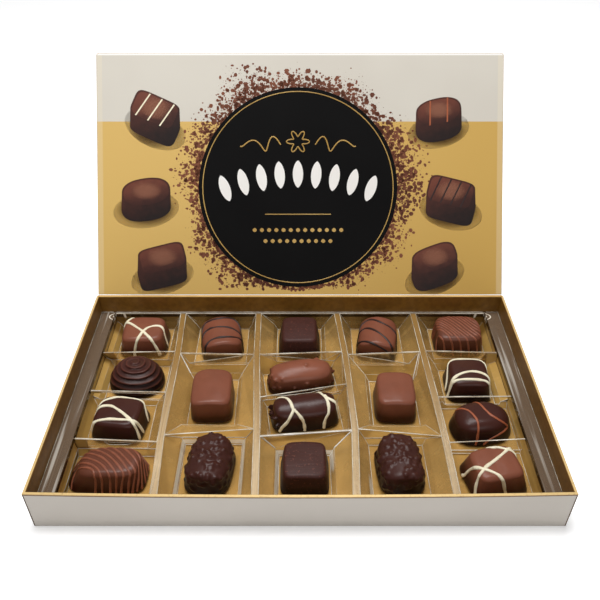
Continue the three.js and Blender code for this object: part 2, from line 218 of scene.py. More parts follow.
class Shader(Graph):
    """A material's node tree, with the patterns that the finishes share."""

    # The Mix node's sockets for colours, which share their names with those for plain numbers
    FIRST_COLOUR, SECOND_COLOUR, MIXED_COLOUR = 6, 7, 2

    def __init__(self, name: str) -> None:
        """Makes an empty material.

        Args:
            name: The material's name.
        """
        self.material = bpy.data.materials.new(name)
        self.material.use_nodes = True
        super().__init__(self.material.node_tree)
        self.tree.nodes.clear()
        self.place = self.add("ShaderNodeTexCoord", output="Object")

    def axes(self) -> tuple[Value, Value, Value]:
        """Gives the point's place in the part's frame, in millimetres.

        Returns:
            Its x, y and z.
        """
        split = {"Vector": self.place}
        x, y, z = (self.add("ShaderNodeSeparateXYZ", inputs=split, output=i) for i in "XYZ")
        return x * 1000, y * 1000, z * 1000

    def page(self) -> tuple[Value, Value]:
        """Gives the point's place on the piece's own page, from 0 to 1 across and up.

        Returns:
            Its place across and up.
        """
        split = {"Vector": self.add("ShaderNodeUVMap", {"uv_map": "page"})}
        across, up = (self.add("ShaderNodeSeparateXYZ", inputs=split, output=i) for i in "XY")
        return across, up

    def noise(
        self,
        size: float,
        detail: float = 3.0,
        seed: float = 0.0,
        stretch: Optional[Sequence[float]] = None,
    ) -> Value:
        """Gives soft noise about 0.5.

        Args:
            size: The width of its patches in millimetres.
            detail: How many finer layers it has.
            seed: Which cut through the noise is taken.
            stretch: How many times closer it is packed along each axis.

        Returns:
            The noise.
        """
        place = self.place
        if stretch:
            place = self.add("ShaderNodeMapping", inputs={"Vector": place, "Scale": tuple(stretch)})
        settings = {"noise_dimensions": "4D"}
        inputs = {"Vector": place, "W": seed, "Scale": 1000 / size, "Detail": detail}
        return self.add("ShaderNodeTexNoise", settings, inputs)

    def mix(self, share: Input, first: Input, second: Input) -> Value:
        """Mixes two colours.

        Args:
            share: The second colour's share, from 0 to 1.
            first: The first colour.
            second: The second colour.

        Returns:
            The mixed colour.
        """
        pair = [c if isinstance(c, Value) else (*c, 1.0) for c in (first, second)]
        inputs = {"Factor": share, self.FIRST_COLOUR: pair[0], self.SECOND_COLOUR: pair[1]}
        return self.add("ShaderNodeMix", {"data_type": "RGBA"}, inputs, output=self.MIXED_COLOUR)

    def bump(self, height: Value, distance: float, strength: float = 1.0) -> Value:
        """Gives a normal from a height, whose full step is a distance in millimetres."""
        inputs = {"Strength": strength, "Distance": distance * MM, "Height": height}
        return self.add("ShaderNodeBump", inputs=inputs)

    def surface(self, **sockets: Input) -> bpy.types.Material:
        """Ends the material in one Principled shader.

        Args:
            sockets: Its inputs, with underscores for the spaces.

        Returns:
            The material.
        """
        inputs = {}
        for key, value in sockets.items():
            colour = isinstance(value, tuple) and len(value) == 3
            inputs[key.replace("_", " ")] = (*value, 1.0) if colour else value
        shader = self.add("ShaderNodeBsdfPrincipled", inputs=inputs)
        self.make("ShaderNodeOutputMaterial", inputs={"Surface": shader})
        return self.material


class ShapeTree(Graph):
    """A geometry tree with named inputs, made once and run on any number of meshes."""

    def __init__(self, name: str, inputs: dict[str, str]) -> None:
        """Makes the tree with a Geometry input and the named ones.

        Args:
            name: The tree's name.
            inputs: The kind of each named input.
        """
        super().__init__(bpy.data.node_groups.new(name, "GeometryNodeTree"))
        interface = self.tree.interface
        interface.new_socket("Geometry", in_out="OUTPUT", socket_type="NodeSocketGeometry")
        kinds = {"Geometry": "NodeSocketGeometry", **inputs}
        self.identifiers = {
            label: interface.new_socket(label, in_out="INPUT", socket_type=kind).identifier
            for label, kind in kinds.items()
        }
        start = self.make("NodeGroupInput")
        self.given = {label: Value(self, start.outputs[label]) for label in kinds}

    def close(self, shape: Value) -> None:
        """Ends the tree in real, smooth geometry with its material.

        Args:
            shape: The finished geometry.
        """
        smooth = self.add("GeometryNodeSetShadeSmooth", inputs={"Geometry": shape})
        real = self.add("GeometryNodeRealizeInstances", inputs={"Geometry": smooth})
        finish = {"Geometry": real, "Material": self.given["Material"]}
        done = self.add("GeometryNodeSetMaterial", inputs=finish)
        self.make("NodeGroupOutput", inputs={"Geometry": done})

    def run(self, name: str, guide: bpy.types.Mesh, values: dict[str, Any]) -> bpy.types.Object:
        """Runs the tree on a guide mesh.

        Args:
            name: The new piece's name.
            guide: The mesh that the tree starts from.
            values: A value for each named input.

        Returns:
            The piece, as a plain mesh.
        """
        carrier = bpy.data.objects.new(name + "_guide", guide)
        bpy.context.collection.objects.link(carrier)
        modifier = carrier.modifiers.new("shape", "NODES")
        modifier.node_group = self.tree
        for label, value in values.items():
            modifier[self.identifiers[label]] = value
        depsgraph = bpy.context.evaluated_depsgraph_get()
        made = bpy.data.meshes.new_from_object(carrier.evaluated_get(depsgraph))
        made.name = name
        carrier.modifiers.remove(modifier)
        bpy.data.objects.remove(carrier)
        return add_object(name, made)


def add_object(name: str, made: bpy.types.Mesh) -> bpy.types.Object:
    """Puts a mesh in the scene as an object at the origin.

    Args:
        name: Its name.
        made: The mesh.

    Returns:
        The object.
    """
    piece = bpy.data.objects.new(name, made)
    bpy.context.collection.objects.link(piece)
    return piece


def mesh_from(
    name: str,
    points: Points,
    faces: Iterable[Sequence[int]],
    materials: Sequence[bpy.types.Material] = (),
    smooth: bool = True,
) -> bpy.types.Mesh:
    """Makes a mesh.

    Args:
        name: Its name.
        points: Its points in millimetres.
        faces: The places of each face's points.
        materials: Its materials, in slot order.
        smooth: Whether it is shaded smooth.

    Returns:
        The mesh in metres.
    """
    made = bpy.data.meshes.new(name)
    made.from_pydata((np.asarray(points) * MM).tolist(), [], [list(f) for f in faces])
    for material in materials:
        made.materials.append(material)
    made.polygons.foreach_set("use_smooth", [smooth] * len(made.polygons))
    made.update()
    return made


def ring_faces(rings: int, sectors: int, first: int = 0) -> list[tuple[int, int, int, int]]:
    """Gives the quads between rings of points that each run once round.

    Args:
        rings: How many rings there are.
        sectors: How many points each has.
        first: The first ring's first point.

    Returns:
        The faces, by the places of their points.
    """
    faces = []
    for ring in range(rings - 1):
        for i in range(sectors):
            near = first + ring * sectors
            following = (i + 1) % sectors
            faces.append((near + i, near + sectors + i, near + sectors + following, near + following))
    return faces


def prism_faces(count: int) -> list[Sequence[int]]:
    """Gives the faces of a flat piece: its upper outline comes first, then its lower one.

    Args:
        count: How many points each outline has.

    Returns:
        The faces, by the places of their points.
    """
    faces: list[Sequence[int]] = [tuple(range(count)), tuple(reversed(range(count, 2 * count)))]
    for i in range(count):
        following = (i + 1) % count
        faces.append((i, i + count, following + count, following))
    return faces


def turns(count: int) -> Points:
    """Gives angles spread evenly once round."""
    return np.linspace(0, 2 * math.pi, count, endpoint=False)


def turned(points: Points, degrees: float, x: float, y: float) -> Points:
    """Turns points in plan and moves them.

    Args:
        points: The points, as rows of two or three numbers.
        degrees: Their turn to the left.
        x: How far they move to the right.
        y: How far they move to the back.

    Returns:
        The moved points.
    """
    turn = math.radians(degrees)
    moved = points.astype(float)
    moved[..., 0] = points[..., 0] * math.cos(turn) - points[..., 1] * math.sin(turn) + x
    moved[..., 1] = points[..., 0] * math.sin(turn) + points[..., 1] * math.cos(turn) + y
    return moved


def store(made: bpy.types.Mesh, label: str, kind: str, values: Points) -> None:
    """Keeps a value at each point of a mesh, under a name."""
    attribute = made.attributes.new(label, kind, "POINT")
    attribute.data.foreach_set("vector" if kind == "FLOAT_VECTOR" else "value", values.ravel())


def finish_modifiers(piece: bpy.types.Object) -> None:
    """Turns a piece's modifiers into plain mesh.

    Args:
        piece: The piece.
    """
    depsgraph = bpy.context.evaluated_depsgraph_get()
    made = bpy.data.meshes.new_from_object(piece.evaluated_get(depsgraph))
    piece.modifiers.clear()
    piece.data = made


class Coat(Enum):
    """The chocolate that a praline is dipped in."""

    MILK = "milk_chocolate"
    DARK = "dark_chocolate"


class Tint(Enum):
    """The colour of a praline's drizzle."""

    WHITE = "white"
    COCOA = "cocoa"
    CARAMEL = "caramel"
    MILK = "milk"


class Relief(Enum):
    """What stands out on a praline's coat."""

    SMOOTH = "smooth"
    WOUND = "wound"
    NUTTY = "nutty"
    LUMPY = "lumpy"
    RAGGED = "ragged"
    SCORED = "scored"


@dataclass(frozen=True)
class ChocolateFinish:
    """A chocolate coat with painted shade down its sides, a painted highlight on wound crests, and small
    unevenness.
    """

    name: str
    colour: Colour
    # The colour of the painted shade low on the sides, also mixed in a little at random
    deep: Colour
    # The lighter colour of the specks and scored lines, also the painted highlight on wound crests
    crest: Colour
    roughness: float
    grain: float
    specular: float = 0.28
    ior: float = 1.47

    def material(
        self, seed: float, top: float, shade: float, scored: bool, dull: float
    ) -> bpy.types.Material:
        """Makes the material.

        Args:
            seed: Which cut through the noise this praline has.
            top: The height of its top over the box's underside, in millimetres.
            shade: How light it is beside the others of its kind.
            scored: Whether fine lines run across it.
            dull: How much rougher it is than others of its kind.

        Returns:
            The material.
        """
        shader = Shader(self.name)
        height = shader.axes()[2]
        cloud = shader.noise(9.0, 2.0, seed)
        fine = shader.noise(0.9, 4.0, seed)
        # Painted shade: the coat turns towards its deep colour lower down its sides, towards the foot
        low = 1 - height.rise(PRALINE_BASE - 1.0, top - 0.6)
        share = (cloud.rise(0.3, 0.75) * 0.15 + low * 1.15).least(1.0)
        light = tuple(c * shade for c in self.colour)
        colour = shader.mix(share, light, self.deep)
        # Painted highlight: the crests of the wound terraces are lighter
        crest = shader.add("ShaderNodeAttribute", {"attribute_name": "crest"}, output="Fac")
        colour = shader.mix(crest.rise(0.45, 1.0) * 0.55, colour, self.crest)
        ripple = shader.noise(3.2, 2.0, seed + 5.0) * 0.7 + fine * 0.3
        rough = (fine - 0.5) * 0.14 + cloud * 0.08 + self.roughness + dull
        if scored:
            lines = shader.noise(2.0, 3.0, seed, (0.16, 3.4, 1.0))
            ripple = ripple * 0.5 + lines
            rough = rough + lines * 0.14 + 0.1
            colour = shader.mix(lines.rise(0.5, 0.75) * 0.12, colour, self.crest)
            specks = shader.noise(0.9, 1.0, seed + 3.0).rise(0.63, 0.7)
            colour = shader.mix(specks * 0.7, colour, self.crest)
        return shader.surface(
            Base_Color=colour,
            Roughness=rough,
            Normal=shader.bump(ripple, self.grain),
            Specular_IOR_Level=self.specular,
            IOR=self.ior,
        )


@dataclass(frozen=True)
class DrizzleFinish:
    """A set strand of piped chocolate or caramel."""

    name: str
    colour: Colour
    deep: Colour

    def material(self) -> bpy.types.Material:
        """Makes the material.

        Returns:
            The material.
        """
        shader = Shader(self.name)
        cloud = shader.noise(2.5, 3.0)
        return shader.surface(
            Base_Color=shader.mix(cloud.rise(0.35, 0.8) * 0.6, self.colour, self.deep),
            Roughness=0.34 + cloud * 0.12,
            Normal=shader.bump(cloud, 0.12),
            Specular_IOR_Level=0.4,
        )


@dataclass(frozen=True)
class BoardFinish:
    """A printed board with a faint fibre and a soft sheen."""

    name: str
    colour: Colour
    shade: Colour
    roughness: float
    specular: float = 0.35

    def material(self) -> bpy.types.Material:
        """Makes the material.

        Returns:
            The material.
        """
        shader = Shader(self.name)
        cloud = shader.noise(45.0, 2.0)
        fibre = shader.noise(0.7, 3.0, 2.0)
        return shader.surface(
            Base_Color=shader.mix(cloud.rise(0.3, 0.7), self.colour, self.shade),
            Roughness=fibre * 0.1 + self.roughness,
            Normal=shader.bump(fibre, 0.02),
            Specular_IOR_Level=self.specular,
        )


@dataclass(frozen=True)
class LiningFinish:
    """Gold-coloured paper, bright on the floor with painted light to its left, and deep brown up the walls
    as painted shade.
    """

    name: str
    floor: Colour
    floor_shade: Colour
    wall: Colour
    wall_deep: Colour

    def material(self) -> bpy.types.Material:
        """Makes the material.

        Returns:
            The material.
        """
        shader = Shader(self.name)
        x, y, height = shader.axes()
        cloud = shader.noise(28.0, 3.0)
        streak = shader.noise(3.0, 2.0, 4.0)
        fibre = shader.noise(0.5, 2.0, 7.0)
        # Painted light: the floor is brighter towards the left and darker towards the right, with a cloudy
        # change of tone
        aside = ((x * -1).rise(-110.0, 125.0) * 0.4 + cloud.rise(0.35, 0.65) * 0.6).least(1.0)
        floor = shader.mix(aside, self.floor_shade, self.floor)
        wall = shader.mix(streak.rise(0.3, 0.7) * 0.5, self.wall, self.wall_deep)
        # Painted shade: above the film's height the walls turn deep brown
        up = height.rise(RIDGE_TOP - 5.0, RIDGE_TOP)
        return shader.surface(
            Base_Color=shader.mix(up, floor, wall),
            Metallic=0.35 - up * 0.2,
            Roughness=fibre * 0.12 + 0.3,
            Normal=shader.bump(fibre + cloud * 2, 0.03),
        )


@dataclass(frozen=True)
class RimFinish:
    """The lining where it is turned over the rim, paler on top as a painted highlight and brown down the
    outside as painted shade.
    """

    name: str
    colour: Colour
    under: Colour

    def material(self) -> bpy.types.Material:
        """Makes the material.

        Returns:
            The material.
        """
        shader = Shader(self.name)
        height = shader.axes()[2]
        fibre = shader.noise(1.5, 4.0, 3.0)
        # Painted shade: brown down the rim's outside
        low = 1 - height.rise(WALL_HEIGHT - 0.4, WALL_HEIGHT - 0.05)
        colour = shader.mix(low, self.colour, self.under)
        return shader.surface(
            Base_Color=shader.mix(fibre.rise(0.5, 0.8) * 0.4, colour, self.under),
            Metallic=0.3,
            Roughness=0.3 + fibre * 0.15,
            Normal=shader.bump(fibre, 0.03),
        )


@dataclass(frozen=True)
class FilmParts:
    """Where the parts of the film lie, each a share from 0 to 1."""

    flange: Value
    beside: Value
    ridge: Value
    drop: Value
    side: Value
    seat: Value
    rear: Value
    front: Value


@dataclass(frozen=True)
class FilmFinish:
    """Thin clear film, nearly unseen on its slopes, with painted reflection and shade: pale on the ridges,
    grey on the flange.
    """

    name: str
    clear: Colour
    haze_and_sheen: Colour
    ridge_back: Colour
    flange: Colour
    flange_light: Colour
    drop: Colour
    painted_glare: Colour
    outer_slope: Colour
    rear_slope: Colour
    clearness: float
    milkiness: float
    ior: float = 1.4
    most_alpha: float = 0.95

    def parts(self, shader: Shader) -> FilmParts:
        """Finds the parts of the film by their place in the box.

        Args:
            shader: The material's nodes.

        Returns:
            The parts.
        """
        x, y, height = shader.axes()
        edge = (abs(x) - FLANGE_X).most(y - FLANGE_BACK).most(y * -1 + FLANGE_FRONT)
        outside = edge.rise(-0.1, 0.2)
        high = height.rise(RIDGE_TOP - 0.7, RIDGE_TOP - 0.2)
        rear = y.rise(REAR_SLOPE_Y, REAR_SLOPE_Y + 6.0)
        aside = abs(x).rise(SIDE_SLOPE_X, SIDE_SLOPE_X + 2.0)
        between = 1 - abs(x).rise(MIDDLE_SEATS_X, MIDDLE_SEATS_X + 4.0)
        return FilmParts(
            flange=outside * high,
            beside=(abs(x) - FLANGE_X).rise(-0.3, 0.3),
            ridge=(1 - outside) * high,
            drop=edge.rise(-0.7, -0.5) * (1 - high) * height.rise(10.5, 12.0),
            side=aside.most(rear * 0.7) * (1 - high) * height.rise(1.9, 3.0),
            seat=height.rise(2.6, 3.2) * (1 - height.rise(4.4, 5.2)) * between,
            rear=rear,
            front=(y * -1).rise(-40.0, 72.0),
        )

    def lines(self, shader: Shader, parts: FilmParts) -> Value:
        """Gives the painted reflections along the flange: pale lines down its sides and across its back.

        Args:
            shader: The material's nodes.
            parts: The parts of the film.

        Returns:
            Their strength.
        """
        down = shader.noise(2.6, 2.0, 8.0, (1.0, 0.03, 1.0)) * parts.beside
        across = shader.noise(1.2, 2.0, 9.0, (0.03, 1.0, 1.0)) * (1 - parts.beside)
        return (down + across).rise(0.52, 0.66)

    def glare(self, shader: Shader, parts: FilmParts) -> Value:
        """Gives the painted highlight: pale light beside the front pralines and arcs in the flange's back
        corners.

        Args:
            shader: The material's nodes.
            parts: The parts of the film.

        Returns:
            Its strength.
        """
        x, y, height = shader.axes()
        beside_pralines = parts.seat * shader.noise(52.0, 0.0, 5.0).rise(0.46, 0.52)
        reach = ((abs(x) - FLANGE_X + 3.0) ** 2 + ((y - FLANGE_BACK + 3.0) * 1.7) ** 2) ** 0.5
        curls = (reach * 2.4).sine().rise(0.3, 0.9) * (1 - reach.rise(6.0, 9.0)) * height.rise(9.5, 12.0)
        return beside_pralines * parts.front.rise(0.45, 0.7) * 0.5 + curls * 0.3

    def colour(self, shader: Shader, parts: FilmParts, lines: Value, glare: Value) -> Value:
        """Gives the film's colour from its parts.

        Args:
            shader: The material's nodes.
            parts: The parts of the film.
            lines: The light lines along the flange.
            glare: The pale light on it.

        Returns:
            The colour.
        """
        # Painted light and shade on the slopes: lit gold at the outer sides, darker gold at the rear
        slope = shader.mix(parts.rear, self.outer_slope, self.rear_slope)
        # Painted reflection: the ridges are hazy and pale towards the front, clearer at the back
        ridge = shader.mix(parts.front, self.ridge_back, self.haze_and_sheen)
        # Painted reflection and shade on the flange: grey-brown, with pale lines, paler across the back
        rail = (lines + (1 - parts.beside) * 0.45).least(1.0)
        flange = shader.mix(rail, self.flange, self.flange_light)
        colour = shader.mix(parts.side, self.clear, slope)
        colour = shader.mix(parts.ridge, colour, ridge)
        colour = shader.mix(parts.flange, colour, flange)
        # Painted shade: dark over the steep drop beside the flange
        colour = shader.mix(parts.drop, colour, self.drop)
        # Painted highlight: pale glare beside the front pralines and in the flange's back corners
        return shader.mix(glare.rise(0.0, 0.3), colour, self.painted_glare)

    def alpha(self, shader: Shader, parts: FilmParts, lines: Value, glare: Value) -> Value:
        """Gives how much the film hides, from its parts.

        Args:
            shader: The material's nodes.
            parts: The parts of the film.
            lines: The light lines along the flange.
            glare: The pale light on it.

        Returns:
            The share of light that it stops.
        """
        sheen = shader.add("ShaderNodeFresnel", inputs={"IOR": self.ior})
        streak = shader.noise(4.0, 2.0, 6.0, (1.0, 1.0, 0.25)).rise(0.5, 0.8)
        grain = shader.noise(2.2, 2.0, 3.0, (1.0, 0.05, 1.0)).rise(0.4, 0.68)
        milk = parts.ridge * self.milkiness * (grain * 0.6 + 0.6)
        clear = sheen * 0.38 + self.clearness + streak * 0.12
        flange = parts.flange * (lines * 0.25 + 0.5)
        return (clear + milk + glare + flange + parts.drop * 0.7 + parts.side * 0.8).least(self.most_alpha)

    def material(self) -> bpy.types.Material:
        """Makes the material.

        Returns:
            The material.
        """
        shader = Shader(self.name)
        parts = self.parts(shader)
        lines = self.lines(shader, parts)
        glare = self.glare(shader, parts)
        cloud = shader.noise(11.0, 3.0)
        return shader.surface(
            Base_Color=self.colour(shader, parts, lines, glare),
            Alpha=self.alpha(shader, parts, lines, glare),
            Roughness=0.08 + cloud * 0.08,
            Normal=shader.bump(cloud, 0.25),
            Specular_IOR_Level=0.5,
        )


@dataclass(frozen=True)
class FoldFinish:
    """A fold in clear film, whose pale colour is a painted highlight along parts of its length.

    It is dark with painted shade where it stands over the steep drop beside the flange.
    """

    name: str
    colour: Colour
    drop: Colour
    least: float
    most: float

    def material(self) -> bpy.types.Material:
        """Makes the material.

        Returns:
            The material.
        """
        shader = Shader(self.name)
        cloud = shader.noise(13.0, 3.0)
        share = cloud.rise(0.4, 0.66)
        beside = abs(abs(shader.axes()[0]) - FLANGE_X)
        # Painted shade: dark beside the flange's edge
        gap = 1 - beside.rise(0.8, 1.2)
        return shader.surface(
            Base_Color=shader.mix(gap, self.colour, self.drop),
            Alpha=(share * (self.most - self.least) + self.least).most(gap * 0.9),
            Roughness=0.12 + cloud * 0.1,
            Specular_IOR_Level=0.6,
        )


@dataclass(frozen=True)
class PrintFinish:
    """The lid's print: a pale field over a gold one, laid out on the panel's own UV map, with painted
    highlights along its top and side edges.
    """

    name: str
    pale: Colour
    pale_shade: Colour
    gold: Colour
    gold_shade: Colour
    side_edge_highlight: Colour
    top_edge: Colour
    split: float

    def material(self) -> bpy.types.Material:
        """Makes the material.

        Returns:
            The material.
        """
        shader = Shader(self.name)
        across, up = shader.page()
        cloud = shader.noise(60.0, 2.0)
        fibre = shader.noise(0.6, 3.0, 3.0)
        pale = shader.mix(cloud.rise(0.3, 0.7) * 0.6, self.pale, self.pale_shade)
        dim = (across.rise(0.35, 1.0) * 0.7 + (1 - up.rise(0.0, 0.5)) * 0.25).least(1.0)
        gold = shader.mix(dim, self.gold, self.gold_shade)
        colour = shader.mix(up.rise(self.split - 0.0015, self.split + 0.0015), gold, pale)
        # Painted highlights along the panel's side and top edges
        colour = shader.mix(abs(across - 0.5).rise(0.4845, 0.487) * 0.25, colour, self.side_edge_highlight)
        return shader.surface(
            Base_Color=shader.mix(up.rise(0.9895, 0.9915), colour, self.top_edge),
            Roughness=0.5 + fibre * 0.08,
            Normal=shader.bump(fibre, 0.01),
            Specular_IOR_Level=0.3,
        )


@dataclass(frozen=True)
class PictureFinish:
    """A printed shape that darkens from its upper left to its lower right."""

    name: str
    light: Colour
    deep: Colour

    def material(self) -> bpy.types.Material:
        """Makes the material.

        Returns:
            The material.
        """
        shader = Shader(self.name)
        across, up = shader.page()
        cloud = shader.noise(4.0, 2.0)
        share = (across * 0.3 + (1 - up) * 0.75 + (cloud - 0.5) * 0.4).rise(0.1, 0.95)
        return shader.surface(
            Base_Color=shader.mix(share, self.light, self.deep),
            Roughness=0.5 + cloud * 0.06,
            Specular_IOR_Level=0.3,
        )


@dataclass(frozen=True)
class GlowFinish:
    """A printed patch that fades out towards its edge."""

    name: str
    colour: Colour
    strength: float

    def material(self) -> bpy.types.Material:
        """Makes the material.

        Returns:
            The material.
        """
        shader = Shader(self.name)
        across, up = shader.page()
        far = (across - 0.5) ** 2 + (up - 0.5) ** 2
        return shader.surface(
            Base_Color=self.colour,
            Alpha=(1 - far.rise(0.0, 0.23)) * self.strength,
            Roughness=0.6,
            Specular_IOR_Level=0.2,
        )


class Palette:
    """The finishes that pieces share, each made once."""

    def __init__(self) -> None:
        """Makes the shared materials."""
        # Each coat: its colour, the deep colour of its painted shade, and the lighter colour of its specks,
        # scored lines and painted crest highlight
        self.chocolate = {
            Coat.MILK: ChocolateFinish(
                "milk_coat", srgb(134, 79, 59), srgb(50, 20, 9), srgb(150, 88, 62), 0.3, 0.14
            ),
            Coat.DARK: ChocolateFinish(
                "dark_coat", srgb(68, 35, 28), srgb(27, 10, 7), srgb(112, 62, 50), 0.28, 0.12
            ),
        }
        self.drizzle = {
            tint: DrizzleFinish(tint.value, srgb(*light), srgb(*deep)).material()
            for tint, light, deep in (
                (Tint.WHITE, (244, 236, 208), (224, 208, 168)),
                (Tint.COCOA, (44, 24, 22), (26, 13, 13)),
                (Tint.CARAMEL, (168, 92, 58), (132, 64, 40)),
                (Tint.MILK, (144, 84, 60), (104, 54, 37)),
            )
        }
        self.board = BoardFinish("grey_board", srgb(184, 177, 168), srgb(180, 173, 164), 0.5).material()
        self.back = BoardFinish("lid_back", srgb(214, 206, 194), srgb(211, 203, 191), 0.5).material()
        self.edge = BoardFinish("board_edge", srgb(190, 164, 122), srgb(164, 134, 90), 0.6).material()
        self.raw = BoardFinish("raw_board", srgb(92, 68, 44), srgb(56, 40, 26), 0.7).material()
        self.crease = BoardFinish("crease_paper", srgb(222, 184, 116), srgb(196, 154, 84), 0.4).material()
        self.black_ink = BoardFinish("black_ink", srgb(9, 8, 8), srgb(5, 4, 4), 0.5, 0.1).material()
        self.gold_ink = BoardFinish("gold_ink", srgb(206, 170, 98), srgb(176, 138, 70), 0.35).material()
        self.cocoa_ink = BoardFinish("cocoa_ink", srgb(132, 76, 50), srgb(94, 48, 31), 0.6).material()
        self.pale_ink = BoardFinish("pale_ink", srgb(244, 241, 236), srgb(236, 232, 226), 0.5).material()
        self.pictured_side = PictureFinish("pictured_side", srgb(76, 37, 27), srgb(24, 10, 8)).material()
        self.pictured_top = PictureFinish("pictured_top", srgb(108, 57, 42), srgb(54, 25, 19)).material()
        self.pictured_shine = GlowFinish("pictured_shine", srgb(168, 112, 88), 0.5).material()
        self.pictured_shade = GlowFinish("pictured_shade", srgb(70, 44, 20), 0.7).material()
        self.print = PrintFinish(
            "lid_print",
            pale=srgb(210, 204, 192),
            pale_shade=srgb(202, 195, 183),
            gold=srgb(213, 176, 101),
            gold_shade=srgb(194, 154, 76),
            side_edge_highlight=srgb(236, 222, 190),
            top_edge=srgb(246, 243, 238),
            split=0.718,
        ).material()
        # Lining: the floor's gold, its painted shade to the right, and the walls' painted shade colours
        self.lining = LiningFinish(
            "gold_lining", srgb(206, 160, 80), srgb(160, 120, 50), srgb(140, 98, 36), srgb(100, 68, 22)
        ).material()
        # Rim: its pale top, a painted highlight, and its painted shade down the outside
        self.rim = RimFinish("turned_rim", srgb(236, 202, 138), srgb(92, 58, 16)).material()
        # The painted shade over the steep drop beside the flange, shared by the film and its folds
        drop = srgb(64, 44, 22)
        # The film: its clear tint, then the colours of its painted reflection, highlight and shade
        self.film = FilmFinish(
            "clear_film",
            clear=srgb(226, 186, 116),
            haze_and_sheen=srgb(244, 222, 184),
            ridge_back=srgb(172, 134, 76),
            flange=srgb(122, 102, 84),
            flange_light=srgb(196, 188, 176),
            drop=drop,
            painted_glare=srgb(255, 246, 226),
            outer_slope=srgb(200, 160, 88),
            rear_slope=srgb(128, 94, 44),
            clearness=0.02,
            milkiness=0.5,
        ).material()
        # Fold lines: their pale colour is a painted highlight, and they take the painted shade over the
        # drop
        self.fold = FoldFinish("film_fold", srgb(252, 246, 230), drop, 0.25, 0.85).material()
        self.faint_fold = FoldFinish("film_faint_fold", srgb(248, 236, 208), drop, 0.04, 0.5).material()
        self.glint = FoldFinish("film_glint", srgb(255, 252, 244), drop, 0.6, 0.95).material()


@dataclass(frozen=True)
class LumpBed:
    """Lumps strewn over one part of a praline's skin, up to a height and between shares of its length."""

    count: int
    sizes: tuple[float, float]
    rise: float
    below: float = math.inf
    span: tuple[float, float] = (-1.0, 1.0)
    sink: float = 0.0


LUMP_BEDS = {
    Relief.NUTTY: (LumpBed(90, (1.6, 2.4), 0.4), LumpBed(16, (2.2, 3.0), 0.3, sink=0.4)),
    Relief.LUMPY: (
        LumpBed(24, (1.2, 1.9), 0.6, below=6.0),
        LumpBed(7, (1.4, 2.2), 0.55, span=(-1.0, -0.3)),
        LumpBed(6, (1.4, 2.2), 0.55, span=(0.05, 1.0)),
    ),
    Relief.RAGGED: (LumpBed(14, (0.9, 1.5), 1.9, below=9.0, span=(-1.0, -0.42)),),
}


